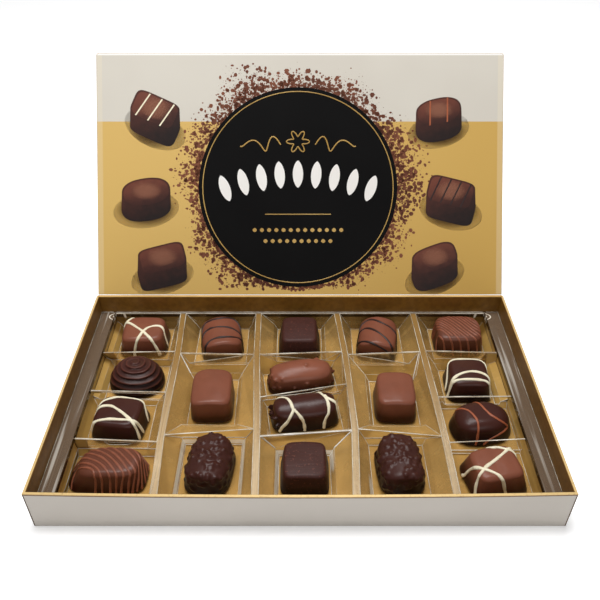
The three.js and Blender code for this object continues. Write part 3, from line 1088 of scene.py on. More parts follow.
@dataclass(frozen=True)
class Praline:
    """One chocolate: its place and sizes, its form and what is piped on it.

    A strand is a line of points in hundredths of half the length and half the width, laid evenly over
    the skin from its middle to its foot.
    """

    name: str
    coat: Coat
    x: float
    y: float
    yaw: float
    length: float
    width: float
    height: float
    taper: float = 0.86
    round: float = 0.2
    square: float = 5.0
    arch_x: float = 0.06
    arch_y: float = 0.06
    nose: float = 0.0
    lean: float = 0.0
    point: float = 0.0
    dome: float = 0.0
    relief: Relief = Relief.SMOOTH
    shade: float = 1.0
    tint: Tint = Tint.WHITE
    strand_width: float = 1.75
    strands: tuple[tuple[tuple[float, float], ...], ...] = ()
    seed: int = 0

    RINGS = 54
    SECTORS = 144
    TOP_SHARE = 0.52
    CORNER_SHARE = 0.73
    BASE_RINGS = ((0.985, 0.18), (0.955, 0.0), (0.5, 0.0))
    STEP = 1e-3
    TINY = 1e-9
    WAVES = 6
    WAVE_LENGTHS = (8, 15)
    WAVE_RISE = 0.035
    WINDINGS = 7.6
    TERRACE = 1.9
    TERRACE_SINK = 0.8
    STRAND_STEPS = 12
    STRAND_TIP = 0.45
    LEAST_GAP = 1e-4

    def profile(self, ring: Points) -> tuple[Points, Points]:
        """Gives how far out and how high the surface lies.

        Args:
            ring: Shares of the way from the middle of the top, 0, to the foot, 1.

        Returns:
            The share of the half size, and the height in millimetres.
        """
        if self.dome:
            turn = ring * math.pi / 2
            high = np.clip(np.cos(turn), 0, 1) ** self.dome
            return np.sin(turn), FOOT + (self.height - FOOT) * high
        flat = self.taper - self.round
        drop = self.round * min(self.length, self.width) / 2
        corner = (ring - self.TOP_SHARE) / (self.CORNER_SHARE - self.TOP_SHARE)
        turn = np.clip(corner, 0, 1) * math.pi / 2
        down = np.clip((ring - self.CORNER_SHARE) / (1 - self.CORNER_SHARE), 0, 1)
        top = np.minimum(ring / self.TOP_SHARE, 1) * flat
        out = top + self.round * np.sin(turn) + (1 - self.taper) * down
        high = (self.height - drop * (1 - np.cos(turn))) * (1 - down) + FOOT * down
        return out, high

    def skin(self, a: Points, b: Points) -> Points:
        """Gives the surface over the praline's own plan.

        Args:
            a: Places along its length, where the foot is at -1 and 1.
            b: Places along its width, likewise.

        Returns:
            A row of three numbers for each place, in the praline's own frame.
        """
        ring = (np.abs(a) ** self.square + np.abs(b) ** self.square) ** (1 / self.square)
        safe = np.maximum(ring, self.TINY)
        u, v = a / safe, b / safe
        out, high = self.profile(np.minimum(ring, 1.0))
        tip = 1 + self.point * np.maximum(0, u) ** (4 * self.square)
        nose = 1 - self.nose * np.maximum(0, -u * out) ** 2
        arch = (1 - self.arch_x * (u * out) ** 2) * (1 - self.arch_y * (v * out) ** 2)
        high = high * arch * nose
        along = u * out * tip * self.length / 2 + self.lean * high / self.height
        return np.stack([along, v * out * self.width / 2, high], axis=-1)

    def normals(self, a: Points, b: Points) -> Points:
        """Gives the surface's outward directions at places of its plan.

        Args:
            a: Places along the length.
            b: Places along the width.

        Returns:
            A row of three numbers for each place.
        """
        along = self.skin(a + self.STEP, b) - self.skin(a - self.STEP, b)
        across = self.skin(a, b + self.STEP) - self.skin(a, b - self.STEP)
        normal = np.cross(along, across)
        return normal / np.maximum(np.linalg.norm(normal, axis=-1, keepdims=True), self.TINY**2)

    def place(self, points: Points) -> Points:
        """Moves points from the praline's own frame to its place in the box."""
        return turned(points, self.yaw, self.x, self.y) + (0, 0, PRALINE_BASE)

    def ring_at(self, share: Points) -> Points:
        """Gives the rings at shares of the way down the skin from the middle to the foot.

        Args:
            share: The shares, from 0 to 1.

        Returns:
            A ring for each.
        """
        fine = np.linspace(0, 1, 600)
        out, high = self.profile(fine)
        steps = np.hypot(np.diff(out) * min(self.length, self.width) / 2, np.diff(high))
        reach = np.concatenate([[0.0], np.cumsum(steps)])
        return np.interp(np.asarray(share) * reach[-1], reach, fine)

    def settle(self, a: Points, b: Points) -> tuple[Points, Points]:
        """Turns places that are even along the skin, from -1 to 1, into places of its plan.

        Args:
            a: Places along the length.
            b: Places along the width.

        Returns:
            The places along and across.
        """
        share = (np.abs(a) ** self.square + np.abs(b) ** self.square) ** (1 / self.square)
        ring = self.ring_at(np.minimum(share, 1))
        share = np.maximum(share, self.TINY)
        return a * ring / share, b * ring / share

    def plan(self) -> tuple[Points, Points, Points]:
        """Gives the ring and the two places of every grid point, evenly spaced over the skin.

        Returns:
            The rings, and the places along and across.
        """
        rings = self.ring_at(np.linspace(0, 1, self.RINGS + 1)[1:])
        turn = turns(self.SECTORS)
        c, s = np.cos(turn), np.sin(turn)
        rim = (np.abs(c) ** self.square + np.abs(s) ** self.square) ** (-1 / self.square)
        ring = np.repeat(rings, self.SECTORS)
        return ring, ring * np.tile(c * rim, self.RINGS), ring * np.tile(s * rim, self.RINGS)

    def raised(self, points: Points, ring: Points, a: Points, b: Points) -> Points:
        """Gives how far the coat stands out from the plain form.

        Args:
            points: The plain form's points.
            ring: Their rings.
            a: Their places along the length.
            b: Their places along the width.

        Returns:
            A height in millimetres for each point.
        """
        random = np.random.default_rng(self.seed + 11)
        high = np.zeros(len(points))
        for _ in range(self.WAVES):
            way = random.normal(size=3)
            way *= 2 * math.pi / (random.uniform(*self.WAVE_LENGTHS) * np.linalg.norm(way))
            high += self.WAVE_RISE * np.sin(points @ way + random.uniform(0, 6.3))
        if self.relief is Relief.WOUND:
            high += self.windings(ring, a, b)
        for bed in LUMP_BEDS.get(self.relief, ()):
            high += self.lumps(points, random, bed) - bed.sink
        return high

    def windings(self, ring: Points, a: Points, b: Points) -> Points:
        """Gives the terraces that wind down from the top and fade out near the foot.

        Args:
            ring: The rings.
            a: Places along the length.
            b: Places along the width.

        Returns:
            A height for each place.
        """
        winding = (self.WINDINGS * ring - np.arctan2(b, a) / (2 * math.pi)) % 1
        crest = winding**1.4 * (1 - np.clip((winding - 0.84) / 0.16, 0, 1) ** 2)
        fade = np.clip(ring * 5, 0, 1) * (1 - 0.75 * np.clip((ring - 0.72) / 0.22, 0, 1))
        return fade * (self.TERRACE * crest - self.TERRACE_SINK)

    def lumps(self, points: Points, random: np.random.Generator, bed: LumpBed) -> Points:
        """Gives soft lumps strewn over a part of the skin.

        Args:
            points: The skin's points.
            random: Where the places and sizes are drawn from.
            bed: How many lumps there are, their radius and their part of the skin.

        Returns:
            A height for each point.
        """
        least, most = (share * self.length for share in bed.span)
        along = points[:, 0]
        places = points[(along > least) & (along < most) & (points[:, 2] < bed.below)]
        high = np.zeros(len(points))
        kept: list[Points] = []
        for centre in places[random.integers(0, len(places), 6 * bed.count)]:
            if len(kept) == bed.count:
                break
            if any(np.linalg.norm(centre - other) < bed.sizes[0] * 1.25 for other in kept):
                continue
            kept.append(centre)
            radius = random.uniform(*bed.sizes)
            near = 1 - ((points - centre) ** 2).sum(axis=1) / radius**2
            high += bed.rise * radius * np.clip(near, 0, 1) ** 2
        return high

    def body(self, material: bpy.types.Material) -> bpy.types.Object:
        """Makes the praline's coat as one closed piece.

        Args:
            material: Its finish.

        Returns:
            The piece.
        """
        ring, a, b = self.plan()
        plain = self.skin(a, b)
        raised = self.raised(plain, ring, a, b)
        edge = np.clip((1 - ring) * 12, 0.15, 1)
        skin = plain + self.normals(a, b) * (raised * edge)[:, None]
        top = self.skin(np.zeros(1), np.zeros(1))
        top[0, 2] = skin[: self.SECTORS, 2].mean()
        foot = skin[-self.SECTORS :]
        under = [foot * (share, share, 0) + (0, 0, level) for share, level in self.BASE_RINGS]
        points = np.concatenate([top, skin, *under, np.zeros((1, 3))])
        rings = self.RINGS + len(self.BASE_RINGS)
        faces: list[Sequence[int]] = list(ring_faces(rings, self.SECTORS, 1))
        last = 1 + (rings - 1) * self.SECTORS
        for i in range(self.SECTORS):
            following = (i + 1) % self.SECTORS
            faces.append((0, 1 + i, 1 + following))
            faces.append((len(points) - 1, last + following, last + i))
        made = mesh_from(self.name, self.place(points), faces, [material])
        crest = np.zeros(len(points))
        if self.relief is Relief.WOUND:
            crest[1 : 1 + len(raised)] = (raised - raised.min()) / np.ptp(raised)
        store(made, "crest", "FLOAT", crest)
        return add_object(self.name, made)

    def strand_guide(self) -> bpy.types.Mesh:
        """Makes the lines that the drizzle follows, on the skin, with its upright and width.

        Returns:
            The lines.
        """
        points, edges, upright, width = [], [], [], []
        for strand in self.strands:
            line = smooth_line(np.array(strand, dtype=float) / 100, self.STRAND_STEPS)
            a, b = self.settle(line[:, 0], line[:, 1])
            kept = np.concatenate([[True], np.hypot(np.diff(a), np.diff(b)) > self.LEAST_GAP])
            a, b = a[kept], b[kept]
            first = len(points)
            place = self.skin(a, b)
            normal = self.normals(a, b)
            points.extend(self.place(place))
            origin = self.place(np.zeros((1, 3)))
            upright.extend(self.place(normal) - origin)
            edges.extend((first + i, first + i + 1) for i in range(len(place) - 1))
            along = np.linspace(0, 1, len(place))
            end = np.minimum(1, np.minimum(along, 1 - along) * len(place) / 3 + self.STRAND_TIP)
            width.extend(end * (1 + 0.12 * np.sin(along * 17 + first) + 0.06 * np.sin(along * 41)))
        made = bpy.data.meshes.new(self.name + "_strands")
        made.from_pydata((np.array(points) * MM).tolist(), edges, [])
        store(made, "upright", "FLOAT_VECTOR", np.array(upright))
        store(made, "width", "FLOAT", np.array(width))
        return made


def smooth_line(points: Points, steps: int) -> Points:
    """Runs a smooth line through points.

    Args:
        points: The points, as rows.
        steps: How many steps it takes between two of them.

    Returns:
        The line's points.
    """
    before = np.concatenate([[2 * points[0] - points[1]], points[:-1]])
    ahead = np.concatenate([points[1:], [2 * points[-1] - points[-2]]])
    pull = (ahead - before) / 2
    t = np.linspace(0, 1, steps, endpoint=False)[:, None]
    parts = []
    for p, q, m, n in zip(points[:-1], points[1:], pull[:-1], pull[1:]):
        parts.append(
            (2 * t**3 - 3 * t**2 + 1) * p
            + (t**3 - 2 * t**2 + t) * m
            + (3 * t**2 - 2 * t**3) * q
            + (t**3 - t**2) * n
        )
    return np.concatenate([*parts, points[-1:]])


class StrandTree(ShapeTree):
    """Sweeps an oval along lines that lie on a surface."""

    def __init__(self) -> None:
        """Builds the tree."""
        inputs = {
            "Half width": "NodeSocketFloat",
            "Flatness": "NodeSocketFloat",
            "Material": "NodeSocketMaterial",
        }
        super().__init__("piped_strand", inputs)
        curve = self.add("GeometryNodeMeshToCurve", inputs={"Mesh": self.given["Geometry"]})
        vector = {"data_type": "FLOAT_VECTOR"}
        upright = self.add("GeometryNodeInputNamedAttribute", vector, {"Name": "upright"})
        width = self.add("GeometryNodeInputNamedAttribute", {"data_type": "FLOAT"}, {"Name": "width"})
        turn = {"Curve": curve, "Normal": upright}
        curve = self.add("GeometryNodeSetCurveNormal", {"mode": "FREE"}, turn)
        radius = {"Resolution": 12, "Radius": self.given["Half width"]}
        circle = self.add("GeometryNodeCurvePrimitiveCircle", inputs=radius)
        flat = self.add("ShaderNodeCombineXYZ", inputs={0: self.given["Flatness"], 1: 1.0, 2: 1.0})
        oval = self.add("GeometryNodeTransform", inputs={"Geometry": circle, "Scale": flat})
        sweep = {"Curve": curve, "Profile Curve": oval, "Scale": width, "Fill Caps": True}
        self.close(self.add("GeometryNodeCurveToMesh", inputs=sweep))


class LineTree(ShapeTree):
    """Sweeps a thin round line along edges, such as a printed ring or a scored fold."""

    def __init__(self) -> None:
        """Builds the tree."""
        inputs = {"Radius": "NodeSocketFloat", "Material": "NodeSocketMaterial"}
        super().__init__("thin_line", inputs)
        curve = self.add("GeometryNodeMeshToCurve", inputs={"Mesh": self.given["Geometry"]})
        size = {"Resolution": 6, "Radius": self.given["Radius"]}
        circle = self.add("GeometryNodeCurvePrimitiveCircle", inputs=size)
        sweep = {"Curve": curve, "Profile Curve": circle, "Fill Caps": True}
        self.close(self.add("GeometryNodeCurveToMesh", inputs=sweep))


class FleckTree(ShapeTree):
    """Scatters flat flecks over a flat guide, thick where its weight is high."""

    # The Random Value node's sockets for plain numbers, which share their names with others
    LEAST, MOST, PLAIN_NUMBER = 2, 3, 1

    def __init__(self) -> None:
        """Builds the tree."""
        inputs = {
            "Density": "NodeSocketFloat",
            "Least": "NodeSocketFloat",
            "Most": "NodeSocketFloat",
            "Seed": "NodeSocketInt",
            "Material": "NodeSocketMaterial",
        }
        super().__init__("scattered_flecks", inputs)
        weight = self.add("GeometryNodeInputNamedAttribute", {"data_type": "FLOAT"}, {"Name": "weight"})
        scatter = {
            "Mesh": self.given["Geometry"],
            "Density": self.given["Density"] * weight,
            "Seed": self.given["Seed"],
        }
        points = self.add("GeometryNodeDistributePointsOnFaces", inputs=scatter)
        flat = Value(self, points.socket.node.outputs["Rotation"])
        fleck = self.add("GeometryNodeMeshCircle", {"fill_type": "NGON"}, {"Vertices": 6, "Radius": 1.0})
        draw = self.add(
            "FunctionNodeRandomValue",
            {"data_type": "FLOAT"},
            {self.LEAST: 0.0, self.MOST: 1.0, "Seed": self.given["Seed"]},
            output=self.PLAIN_NUMBER,
        )
        size = self.given["Least"] + (self.given["Most"] - self.given["Least"]) * draw**6
        shapes = {0: (0.6, 0.6, 1.0), 1: (1.3, 1.3, 1.0), "Seed": 5}
        shape = self.add("FunctionNodeRandomValue", {"data_type": "FLOAT_VECTOR"}, shapes)
        scale = self.add("ShaderNodeVectorMath", {"operation": "SCALE"}, {0: shape, "Scale": size})
        spread = {"Points": points, "Instance": fleck, "Rotation": flat, "Scale": scale}
        self.close(self.add("GeometryNodeInstanceOnPoints", inputs=spread))


@dataclass
class Tray:
    """The carton tray: grey board outside, gold paper inside and turned over the rim."""

    palette: Palette
    spans: int = 26
    turned: float = 1.1
    rounding: float = 0.25
    paper: float = 0.12
    raw_foot: float = 0.3
    raw_inset: float = 0.04
    raw_depth: float = 0.2
    raw_width: float = 0.55

    OUTSIDE, LINING, RIM = range(3)

    def bow(self, x: Points, y: Points, z: Points) -> Points:
        """Leans the front out towards its rim, most in its middle."""
        lean = CORNER_BOW + (MIDDLE_BOW - CORNER_BOW) * (1 - (x / HALF_WIDTH) ** 2)
        return np.where(y < 0, y - lean * z / WALL_HEIGHT, y)

    def loop(self, inset: float, height: float) -> Points:
        """Gives one loop round the walls at an inset from the outside and a height.

        Args:
            inset: How far in it lies.
            height: Its height.

        Returns:
            The loop's points.
        """
        across, deep = HALF_WIDTH - inset, HALF_DEPTH - inset
        corners = [(-across, -deep), (across, -deep), (across, deep), (-across, deep)]
        points = []
        for (x0, y0), (x1, y1) in zip(corners, corners[1:] + corners[:1]):
            share = np.linspace(0, 1, self.spans, endpoint=False)
            points.append(np.stack([x0 + (x1 - x0) * share, y0 + (y1 - y0) * share], axis=-1))
        plan = np.concatenate(points)
        level = np.full(len(plan), height)
        return np.stack([plan[:, 0], self.bow(plan[:, 0], plan[:, 1], level), level], axis=-1)

    def build(self) -> list[bpy.types.Object]:
        """Makes the tray and its raw corners.

        Returns:
            The pieces.
        """
        top = WALL_HEIGHT
        path = [
            (self.paper, 0.0, self.OUTSIDE),
            (self.paper, top - self.turned, self.OUTSIDE),
            (0.0, top - self.turned + 0.05, self.RIM),
            (0.0, top - self.rounding, self.RIM),
            (self.rounding, top, self.RIM),
            (WALL - self.rounding, top, self.RIM),
            (WALL, top - self.rounding, self.LINING),
            (WALL, FLOOR_BOARD, self.LINING),
        ]
        sectors = 4 * self.spans
        points = np.concatenate([self.loop(inset, height) for inset, height, _ in path])
        faces: list[Sequence[int]] = [f[::-1] for f in ring_faces(len(path), sectors)]
        slots = [part for _, _, part in path[1:] for _ in range(sectors)]
        faces.append(tuple(reversed(range(sectors))))
        faces.append(tuple(range((len(path) - 1) * sectors, len(path) * sectors)))
        slots += [self.OUTSIDE, self.LINING]
        finishes = [self.palette.board, self.palette.lining, self.palette.rim]
        made = mesh_from("tray", points, faces, finishes, smooth=False)
        made.polygons.foreach_set("material_index", slots)
        tray = add_object("tray", made)
        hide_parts("carton_tray")
        pieces = [tray, self.corners()]
        for piece in pieces:
            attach(piece, BOX_BODY)
        return pieces

    def corners(self) -> bpy.types.Object:
        """Makes the raw board edges that show down the tray's upright corners.

        Returns:
            The piece.
        """
        points, faces = [], []
        inset, depth, width = self.raw_inset, self.raw_depth, self.raw_width
        angle = [(inset, inset), (inset, width), (depth, width)]
        angle += [(depth, depth), (width, depth), (width, inset)]
        for side_x, side_y in ((-1, -1), (-1, 1), (1, -1), (1, 1)):
            lean = CORNER_BOW / WALL_HEIGHT if side_y < 0 else 0.0
            outline = angle[::-1] if side_x * side_y > 0 else angle
            faces += [[len(points) + i for i in face] for face in prism_faces(len(angle))]
            for level in (WALL_HEIGHT - self.turned, self.raw_foot):
                for u, v in outline:
                    x = side_x * (HALF_WIDTH - u)
                    y = side_y * (HALF_DEPTH - v) - lean * level
                    points.append((x, y, level))
        made = mesh_from("corner_edges", points, faces, [self.palette.raw], smooth=False)
        return add_object("corner_edges", made)


@dataclass
class Insert:
    """The clear formed insert, drawn over the pockets, with folds that catch the light."""

    palette: Palette
    tree: LineTree
    film: float = 0.3
    least_turn: float = 14.0
    sharp_turn: float = 34.0
    most_turn: float = 400.0
    shortest: float = 0.3
    fold: float = 0.19
    faint_fold: float = 0.15
    glint: float = 0.36

    # Where the film shines most: the ends of each line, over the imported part's own corners
    GLINTS = (
        ((-72.1, 34.4), (-66.0, 26.0)),
        ((71.2, 35.4), (67.0, 24.0)),
        ((-20.5, -31.3), (26.9, -27.1)),
        ((-22.0, -30.0), (-16.0, -34.0)),
        ((27.0, -27.0), (18.5, -31.0)),
    )

    def upper_side(self, node: bpy.types.Object) -> bmesh.types.BMesh:
        """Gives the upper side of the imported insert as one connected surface.

        Args:
            node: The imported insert.

        Returns:
            The surface.
        """
        work = bmesh.new()
        work.from_mesh(node.data)
        bmesh.ops.remove_doubles(work, verts=work.verts, dist=0.002 * MM)
        under = [face for face in work.faces if face.normal.z < 0.005]
        bmesh.ops.delete(work, geom=under, context="FACES")
        return work

    def folds(self, work: bmesh.types.BMesh, name: str, least: float, most: float) -> bpy.types.Mesh:
        """Gives the folds that turn by an angle between two limits, in degrees.

        Args:
            work: The film's upper side.
            name: A name for the folds.
            least: The least turn.
            most: The turn that they stay under.

        Returns:
            The folds, as lines.
        """
        points, edges, places = [], [], {}
        for edge in work.edges:
            turn = math.degrees(edge.calc_face_angle(math.pi))
            if not least <= turn < most or edge.calc_length() < self.shortest * MM:
                continue
            pair = []
            for vert in edge.verts:
                if vert.index not in places:
                    places[vert.index] = len(points)
                    points.append(tuple(vert.co))
                pair.append(places[vert.index])
            edges.append(pair)
        made = bpy.data.meshes.new(name)
        made.from_pydata(points, edges, [])
        return made

    def glints(self, work: bmesh.types.BMesh) -> bpy.types.Mesh:
        """Gives the few folds that shine most.

        Args:
            work: The film's upper side.

        Returns:
            The folds, as lines.
        """
        corners = [vert.co for vert in work.verts]
        points, edges = [], []
        for pair in self.GLINTS:
            for x, y in pair:
                place = Vector((x, y)) * MM
                points.append(min(corners, key=lambda co: (co.xy - place).length))
            edges.append((len(points) - 2, len(points) - 1))
        made = bpy.data.meshes.new("glints")
        made.from_pydata([tuple(point) for point in points], edges, [])
        return made

    def build(self, node: bpy.types.Object) -> list[bpy.types.Object]:
        """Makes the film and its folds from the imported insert's upper side.

        Args:
            node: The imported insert.

        Returns:
            The film and its folds.
        """
        work = self.upper_side(node)
        work.verts.index_update()
        made = bpy.data.meshes.new("clear_film")
        work.to_mesh(made)
        made.materials.clear()
        made.materials.append(self.palette.film)
        made.polygons.foreach_set("material_index", [0] * len(made.polygons))
        film = add_object("clear_film", made)
        thickness = film.modifiers.new("film", "SOLIDIFY")
        thickness.thickness = self.film * MM
        thickness.offset = -1.0
        finish_modifiers(film)
        film.data.polygons.foreach_set("use_smooth", [False] * len(film.data.polygons))
        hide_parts("clear_insert")
        sharp = self.folds(work, "sharp_folds", self.sharp_turn, self.most_turn)
        faint = self.folds(work, "faint_folds", self.least_turn, self.sharp_turn)
        sweeps = (
            ("film_folds", sharp, self.fold, self.palette.fold),
            ("film_faint_folds", faint, self.faint_fold, self.palette.faint_fold),
            ("film_glints", self.glints(work), self.glint, self.palette.glint),
        )
        work.free()
        pieces = [film]
        for name, guide, radius, finish in sweeps:
            pieces.append(self.tree.run(name, guide, {"Radius": radius * MM, "Material": finish}))
        for piece in pieces:
            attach(piece, BOX_BODY)
        return pieces


@dataclass(frozen=True)
class Motif:
    """A chocolate pictured on the lid, by its place on the panel and its sizes."""

    x: float
    y: float
    turn: float
    length: float
    width: float
    depth: float
    square: float
    stripes: int = 0
    tint: Tint = Tint.WHITE


@dataclass
class Lid:
    """The printed lid panel, leaning back from the tray's rear edge."""

    palette: Palette
    lines: LineTree
    flecks: FleckTree
    corner: float = 1.6
    edge: float = 0.3
    disc: tuple[float, float, float] = (-1.3, 68.6, 63.2)
    ring: float = 60.6
    lift: float = 0.06

    CORNER_STEPS = 7
    PRINTED, CUT, BACK = range(3)

    # The gold lines: the rule below the disc's middle, and the rosette between two flourishes above it
    RULE_HALF = 21.0
    RULE_DROP = 17.0
    ROSETTE_RISE = 29.0
    ROSETTE_RADIUS = 5.2
    PETAL = 2.1
    FLOURISH_START = 11.0
    FLOURISH_LENGTH = 25.0
    FLOURISH_RISE = 27.0

    # The garland: how many leaves stand on each side of its middle one, and their measures
    LEAVES = 4
    LEAF_PITCH = 11.6
    LEAF_RISE = 8.5
    LEAF_FALL = 0.0042
    LEAF_HALF = (8.6, 3.3)
    LEAF_TURN = 5.0

    # The rows of dots: how far below the disc's middle each lies and how many it has
    DOT_ROWS = ((27, 13), (34, 10))
    DOT_PITCH = 4.6
    DOT_HALF = (1.3, 1.3)

    # The cocoa flecks: the guide's steps, its reach beyond the disc and the room left at the panel's edges
    FLECK_SECTORS = 96
    FLECK_RINGS = 10
    FLECK_REACH = 30.0
    FLECK_DENSITY = 4.2e6
    FLECK_SIZES = (0.1, 1.5)
    FLECK_SEED = 3

    # The layers of a pictured chocolate: how many times its size each is, and how far each is dropped
    FOOT_SCALE = 1.02
    SHADE_SCALE = 1.36
    SHADE_DROP = 1.5
    TOP_SCALE = 0.93
    TOP_DROP = 0.4
    SHINE_SCALE = 0.74
    SHINE_DROP = -0.6
    STRIPE_HALF_WIDTH = 0.45
    STRIPE_SLANT = 1.6
    STRIPE_REACH = 0.47

    MOTIFS = (
        Motif(-92.0, 118.0, -24.0, 30.0, 17.0, 11.0, 5.0, 3, Tint.WHITE),
        Motif(-98.0, 66.0, 8.0, 31.0, 17.0, 10.0, 2.4),
        Motif(-88.0, 24.0, 14.0, 30.0, 16.0, 11.0, 5.0),
        Motif(88.0, 117.0, 12.0, 29.0, 16.0, 11.0, 2.4, 2, Tint.CARAMEL),
        Motif(96.0, 66.0, -14.0, 30.0, 17.0, 11.0, 5.0, 4, Tint.COCOA),
        Motif(86.0, 24.0, 20.0, 29.0, 16.0, 11.0, 3.2),
    )

    def lay(self, flat: Points) -> Points:
        """Moves points from the panel's own plane to the leaning lid.

        Args:
            flat: The points.

        Returns:
            The moved points.
        """
        turn = math.pi / 2 - LID_LEAN
        matrix = np.array(Matrix.Translation(Vector(LID_HINGE)) @ Matrix.Rotation(turn, 4, "X"))
        flat = np.asarray(flat, dtype=float)
        return flat @ matrix[:3, :3].T + matrix[:3, 3]

    def page(self, made: bpy.types.Mesh, flat: Points, low: Sequence[float], high: Sequence[float]) -> None:
        """Lays a page over a flat piece, from its lower left corner to its upper right one.

        Args:
            made: The piece's mesh.
            flat: Its points on the panel.
            low: The page's lower left corner.
            high: Its upper right one.
        """
        low, high = np.array(low), np.array(high)
        page = made.uv_layers.new(name="page")
        for loop in made.loops:
            page.data[loop.index].uv = (flat[loop.vertex_index, :2] - low) / (high - low)

    def around(self, radius: Union[float, Points], count: int, rise: float = 0.0) -> Points:
        """Gives points once round the disc's middle, or round a place above it.

        Args:
            radius: How far out they lie, alike or each its own.
            count: How many there are.
            rise: How far the place is above the disc's middle.

        Returns:
            The points on the panel, anticlockwise.
        """
        x, y, _ = self.disc
        turn = turns(count)
        return np.stack([x + radius * np.cos(turn), y + rise + radius * np.sin(turn)], axis=-1)

    def outline(self, inset: float) -> Points:
        """Gives the panel's outline, with rounded top corners, inset from its edge.

        Args:
            inset: How far in it lies.

        Returns:
            Its points, anticlockwise.
        """
        half, high, low = LID_HALF - inset, LID_HIGH - inset, LID_LOW + inset
        points = [(-half, low), (half, low)]
        for side, start in ((1, 0.0), (-1, math.pi / 2)):
            x, y = side * (half - self.corner), high - self.corner
            for turn in np.linspace(start, start + math.pi / 2, self.CORNER_STEPS):
                points.append((x + self.corner * math.cos(turn), y + self.corner * math.sin(turn)))
        return np.array(points)

    def panel(self) -> bpy.types.Object:
        """Makes the board with its printed face, plain back and cut edges.

        Returns:
            The piece.
        """
        levels = (
            (self.edge, 0.0),
            (0.0, -self.edge),
            (0.0, self.edge - LID_BOARD),
            (self.edge, -LID_BOARD),
        )
        outlines = [self.outline(inset) for inset, _ in levels]
        sectors = len(outlines[0])
        flat = np.column_stack([np.concatenate(outlines), np.repeat([z for _, z in levels], sectors)])
        faces: list[Sequence[int]] = list(ring_faces(len(levels), sectors))
        slots = [self.CUT] * len(faces) + [self.PRINTED, self.BACK]
        faces.append(tuple(range(sectors)))
        faces.append(tuple(reversed(range(len(flat) - sectors, len(flat)))))
        finishes = [self.palette.print, self.palette.edge, self.palette.back]
        made = mesh_from("lid_board", self.lay(flat), faces, finishes, smooth=False)
        made.polygons.foreach_set("material_index", slots)
        self.page(made, flat, (-LID_HALF, LID_LOW), (LID_HALF, LID_HIGH))
        return add_object("lid_board", made)

    def patch(
        self, name: str, outline: Points, lift: float, ink: bpy.types.Material
    ) -> bpy.types.Object:
        """Makes one flat printed shape.

        Args:
            name: The piece's name.
            outline: Its outline on the panel, anticlockwise.
            lift: How far it stands over the panel.
            ink: Its finish.

        Returns:
            The piece.
        """
        count = len(outline)
        flat = np.column_stack([np.concatenate([outline, outline]), np.repeat([lift, 0.0], count)])
        made = mesh_from(name, self.lay(flat), prism_faces(count), [ink], smooth=False)
        self.page(made, flat, outline.min(axis=0), outline.max(axis=0))
        return add_object(name, made)

    def line(self, name: str, path: Points, closed: bool, radius: float) -> bpy.types.Object:
        """Makes one thin gold line on the disc.

        Args:
            name: Its name.
            path: Its points on the panel.
            closed: Whether it ends where it starts.
            radius: Half its width.

        Returns:
            The piece.
        """
        flat = np.column_stack([path, np.full(len(path), self.lift)])
        guide = bpy.data.meshes.new(name)
        edges = [(i, i + 1) for i in range(len(path) - 1)]
        if closed:
            edges.append((len(path) - 1, 0))
        guide.from_pydata((self.lay(flat) * MM).tolist(), edges, [])
        values = {"Radius": radius * MM, "Material": self.palette.gold_ink}
        return self.lines.run(name, guide, values)

    def oval(self, motif: Motif, scale: float = 1.0, drop: float = 0.0) -> Points:
        """Gives a motif's squared oval on the panel, at a scale and dropped a little.

        Args:
            motif: The motif.
            scale: How many times its own size the oval is.
            drop: How far it is dropped.

        Returns:
            The outline, anticlockwise.
        """
        turn = turns(64)
        c, s = np.cos(turn), np.sin(turn)
        u = np.sign(c) * np.abs(c) ** (2 / motif.square) * motif.length / 2 * scale
        v = np.sign(s) * np.abs(s) ** (2 / motif.square) * motif.width / 2 * scale
        return turned(np.stack([u, v], axis=-1), motif.turn, motif.x, motif.y - drop)

    def hull(self, points: Points) -> Points:
        """Gives the convex outline round points, anticlockwise.

        Args:
            points: The points.

        Returns:
            The outline.
        """
        ordered = sorted(map(tuple, np.round(points, 6)))

        def half(run: Iterable[tuple[float, float]]) -> list[tuple[float, float]]:
            """Gives one side of the outline."""
            kept: list[tuple[float, float]] = []
            for p in run:
                while len(kept) > 1:
                    (ax, ay), (bx, by) = kept[-2:]
                    if (bx - ax) * (p[1] - ay) - (by - ay) * (p[0] - ax) > 0:
                        break
                    kept.pop()
                kept.append(p)
            return kept[:-1]

        return np.array(half(ordered) + half(reversed(ordered)))

    def motif(self, index: int, motif: Motif) -> list[bpy.types.Object]:
        """Makes one pictured chocolate: its side, its top and any stripes across it.

        Args:
            index: Its number.
            motif: Its place and sizes.

        Returns:
            The pieces.
        """
        name = f"pictured_praline_{index}"
        palette, lift = self.palette, self.lift
        foot = self.oval(motif, self.FOOT_SCALE, motif.depth)
        side = self.hull(np.concatenate([self.oval(motif), foot]))
        shade = self.oval(replace(motif, square=2.0), self.SHADE_SCALE, motif.depth + self.SHADE_DROP)
        top = self.oval(motif, self.TOP_SCALE, self.TOP_DROP)
        shine = self.oval(motif, self.SHINE_SCALE, self.SHINE_DROP)
        return [
            self.patch(name + "_shade", shade, lift / 2, palette.pictured_shade),
            self.patch(name + "_side", side, lift, palette.pictured_side),
            self.patch(name + "_top", top, 2 * lift, palette.pictured_top),
            self.patch(name + "_shine", shine, 3 * lift, palette.pictured_shine),
            *self.stripes(name, motif),
        ]

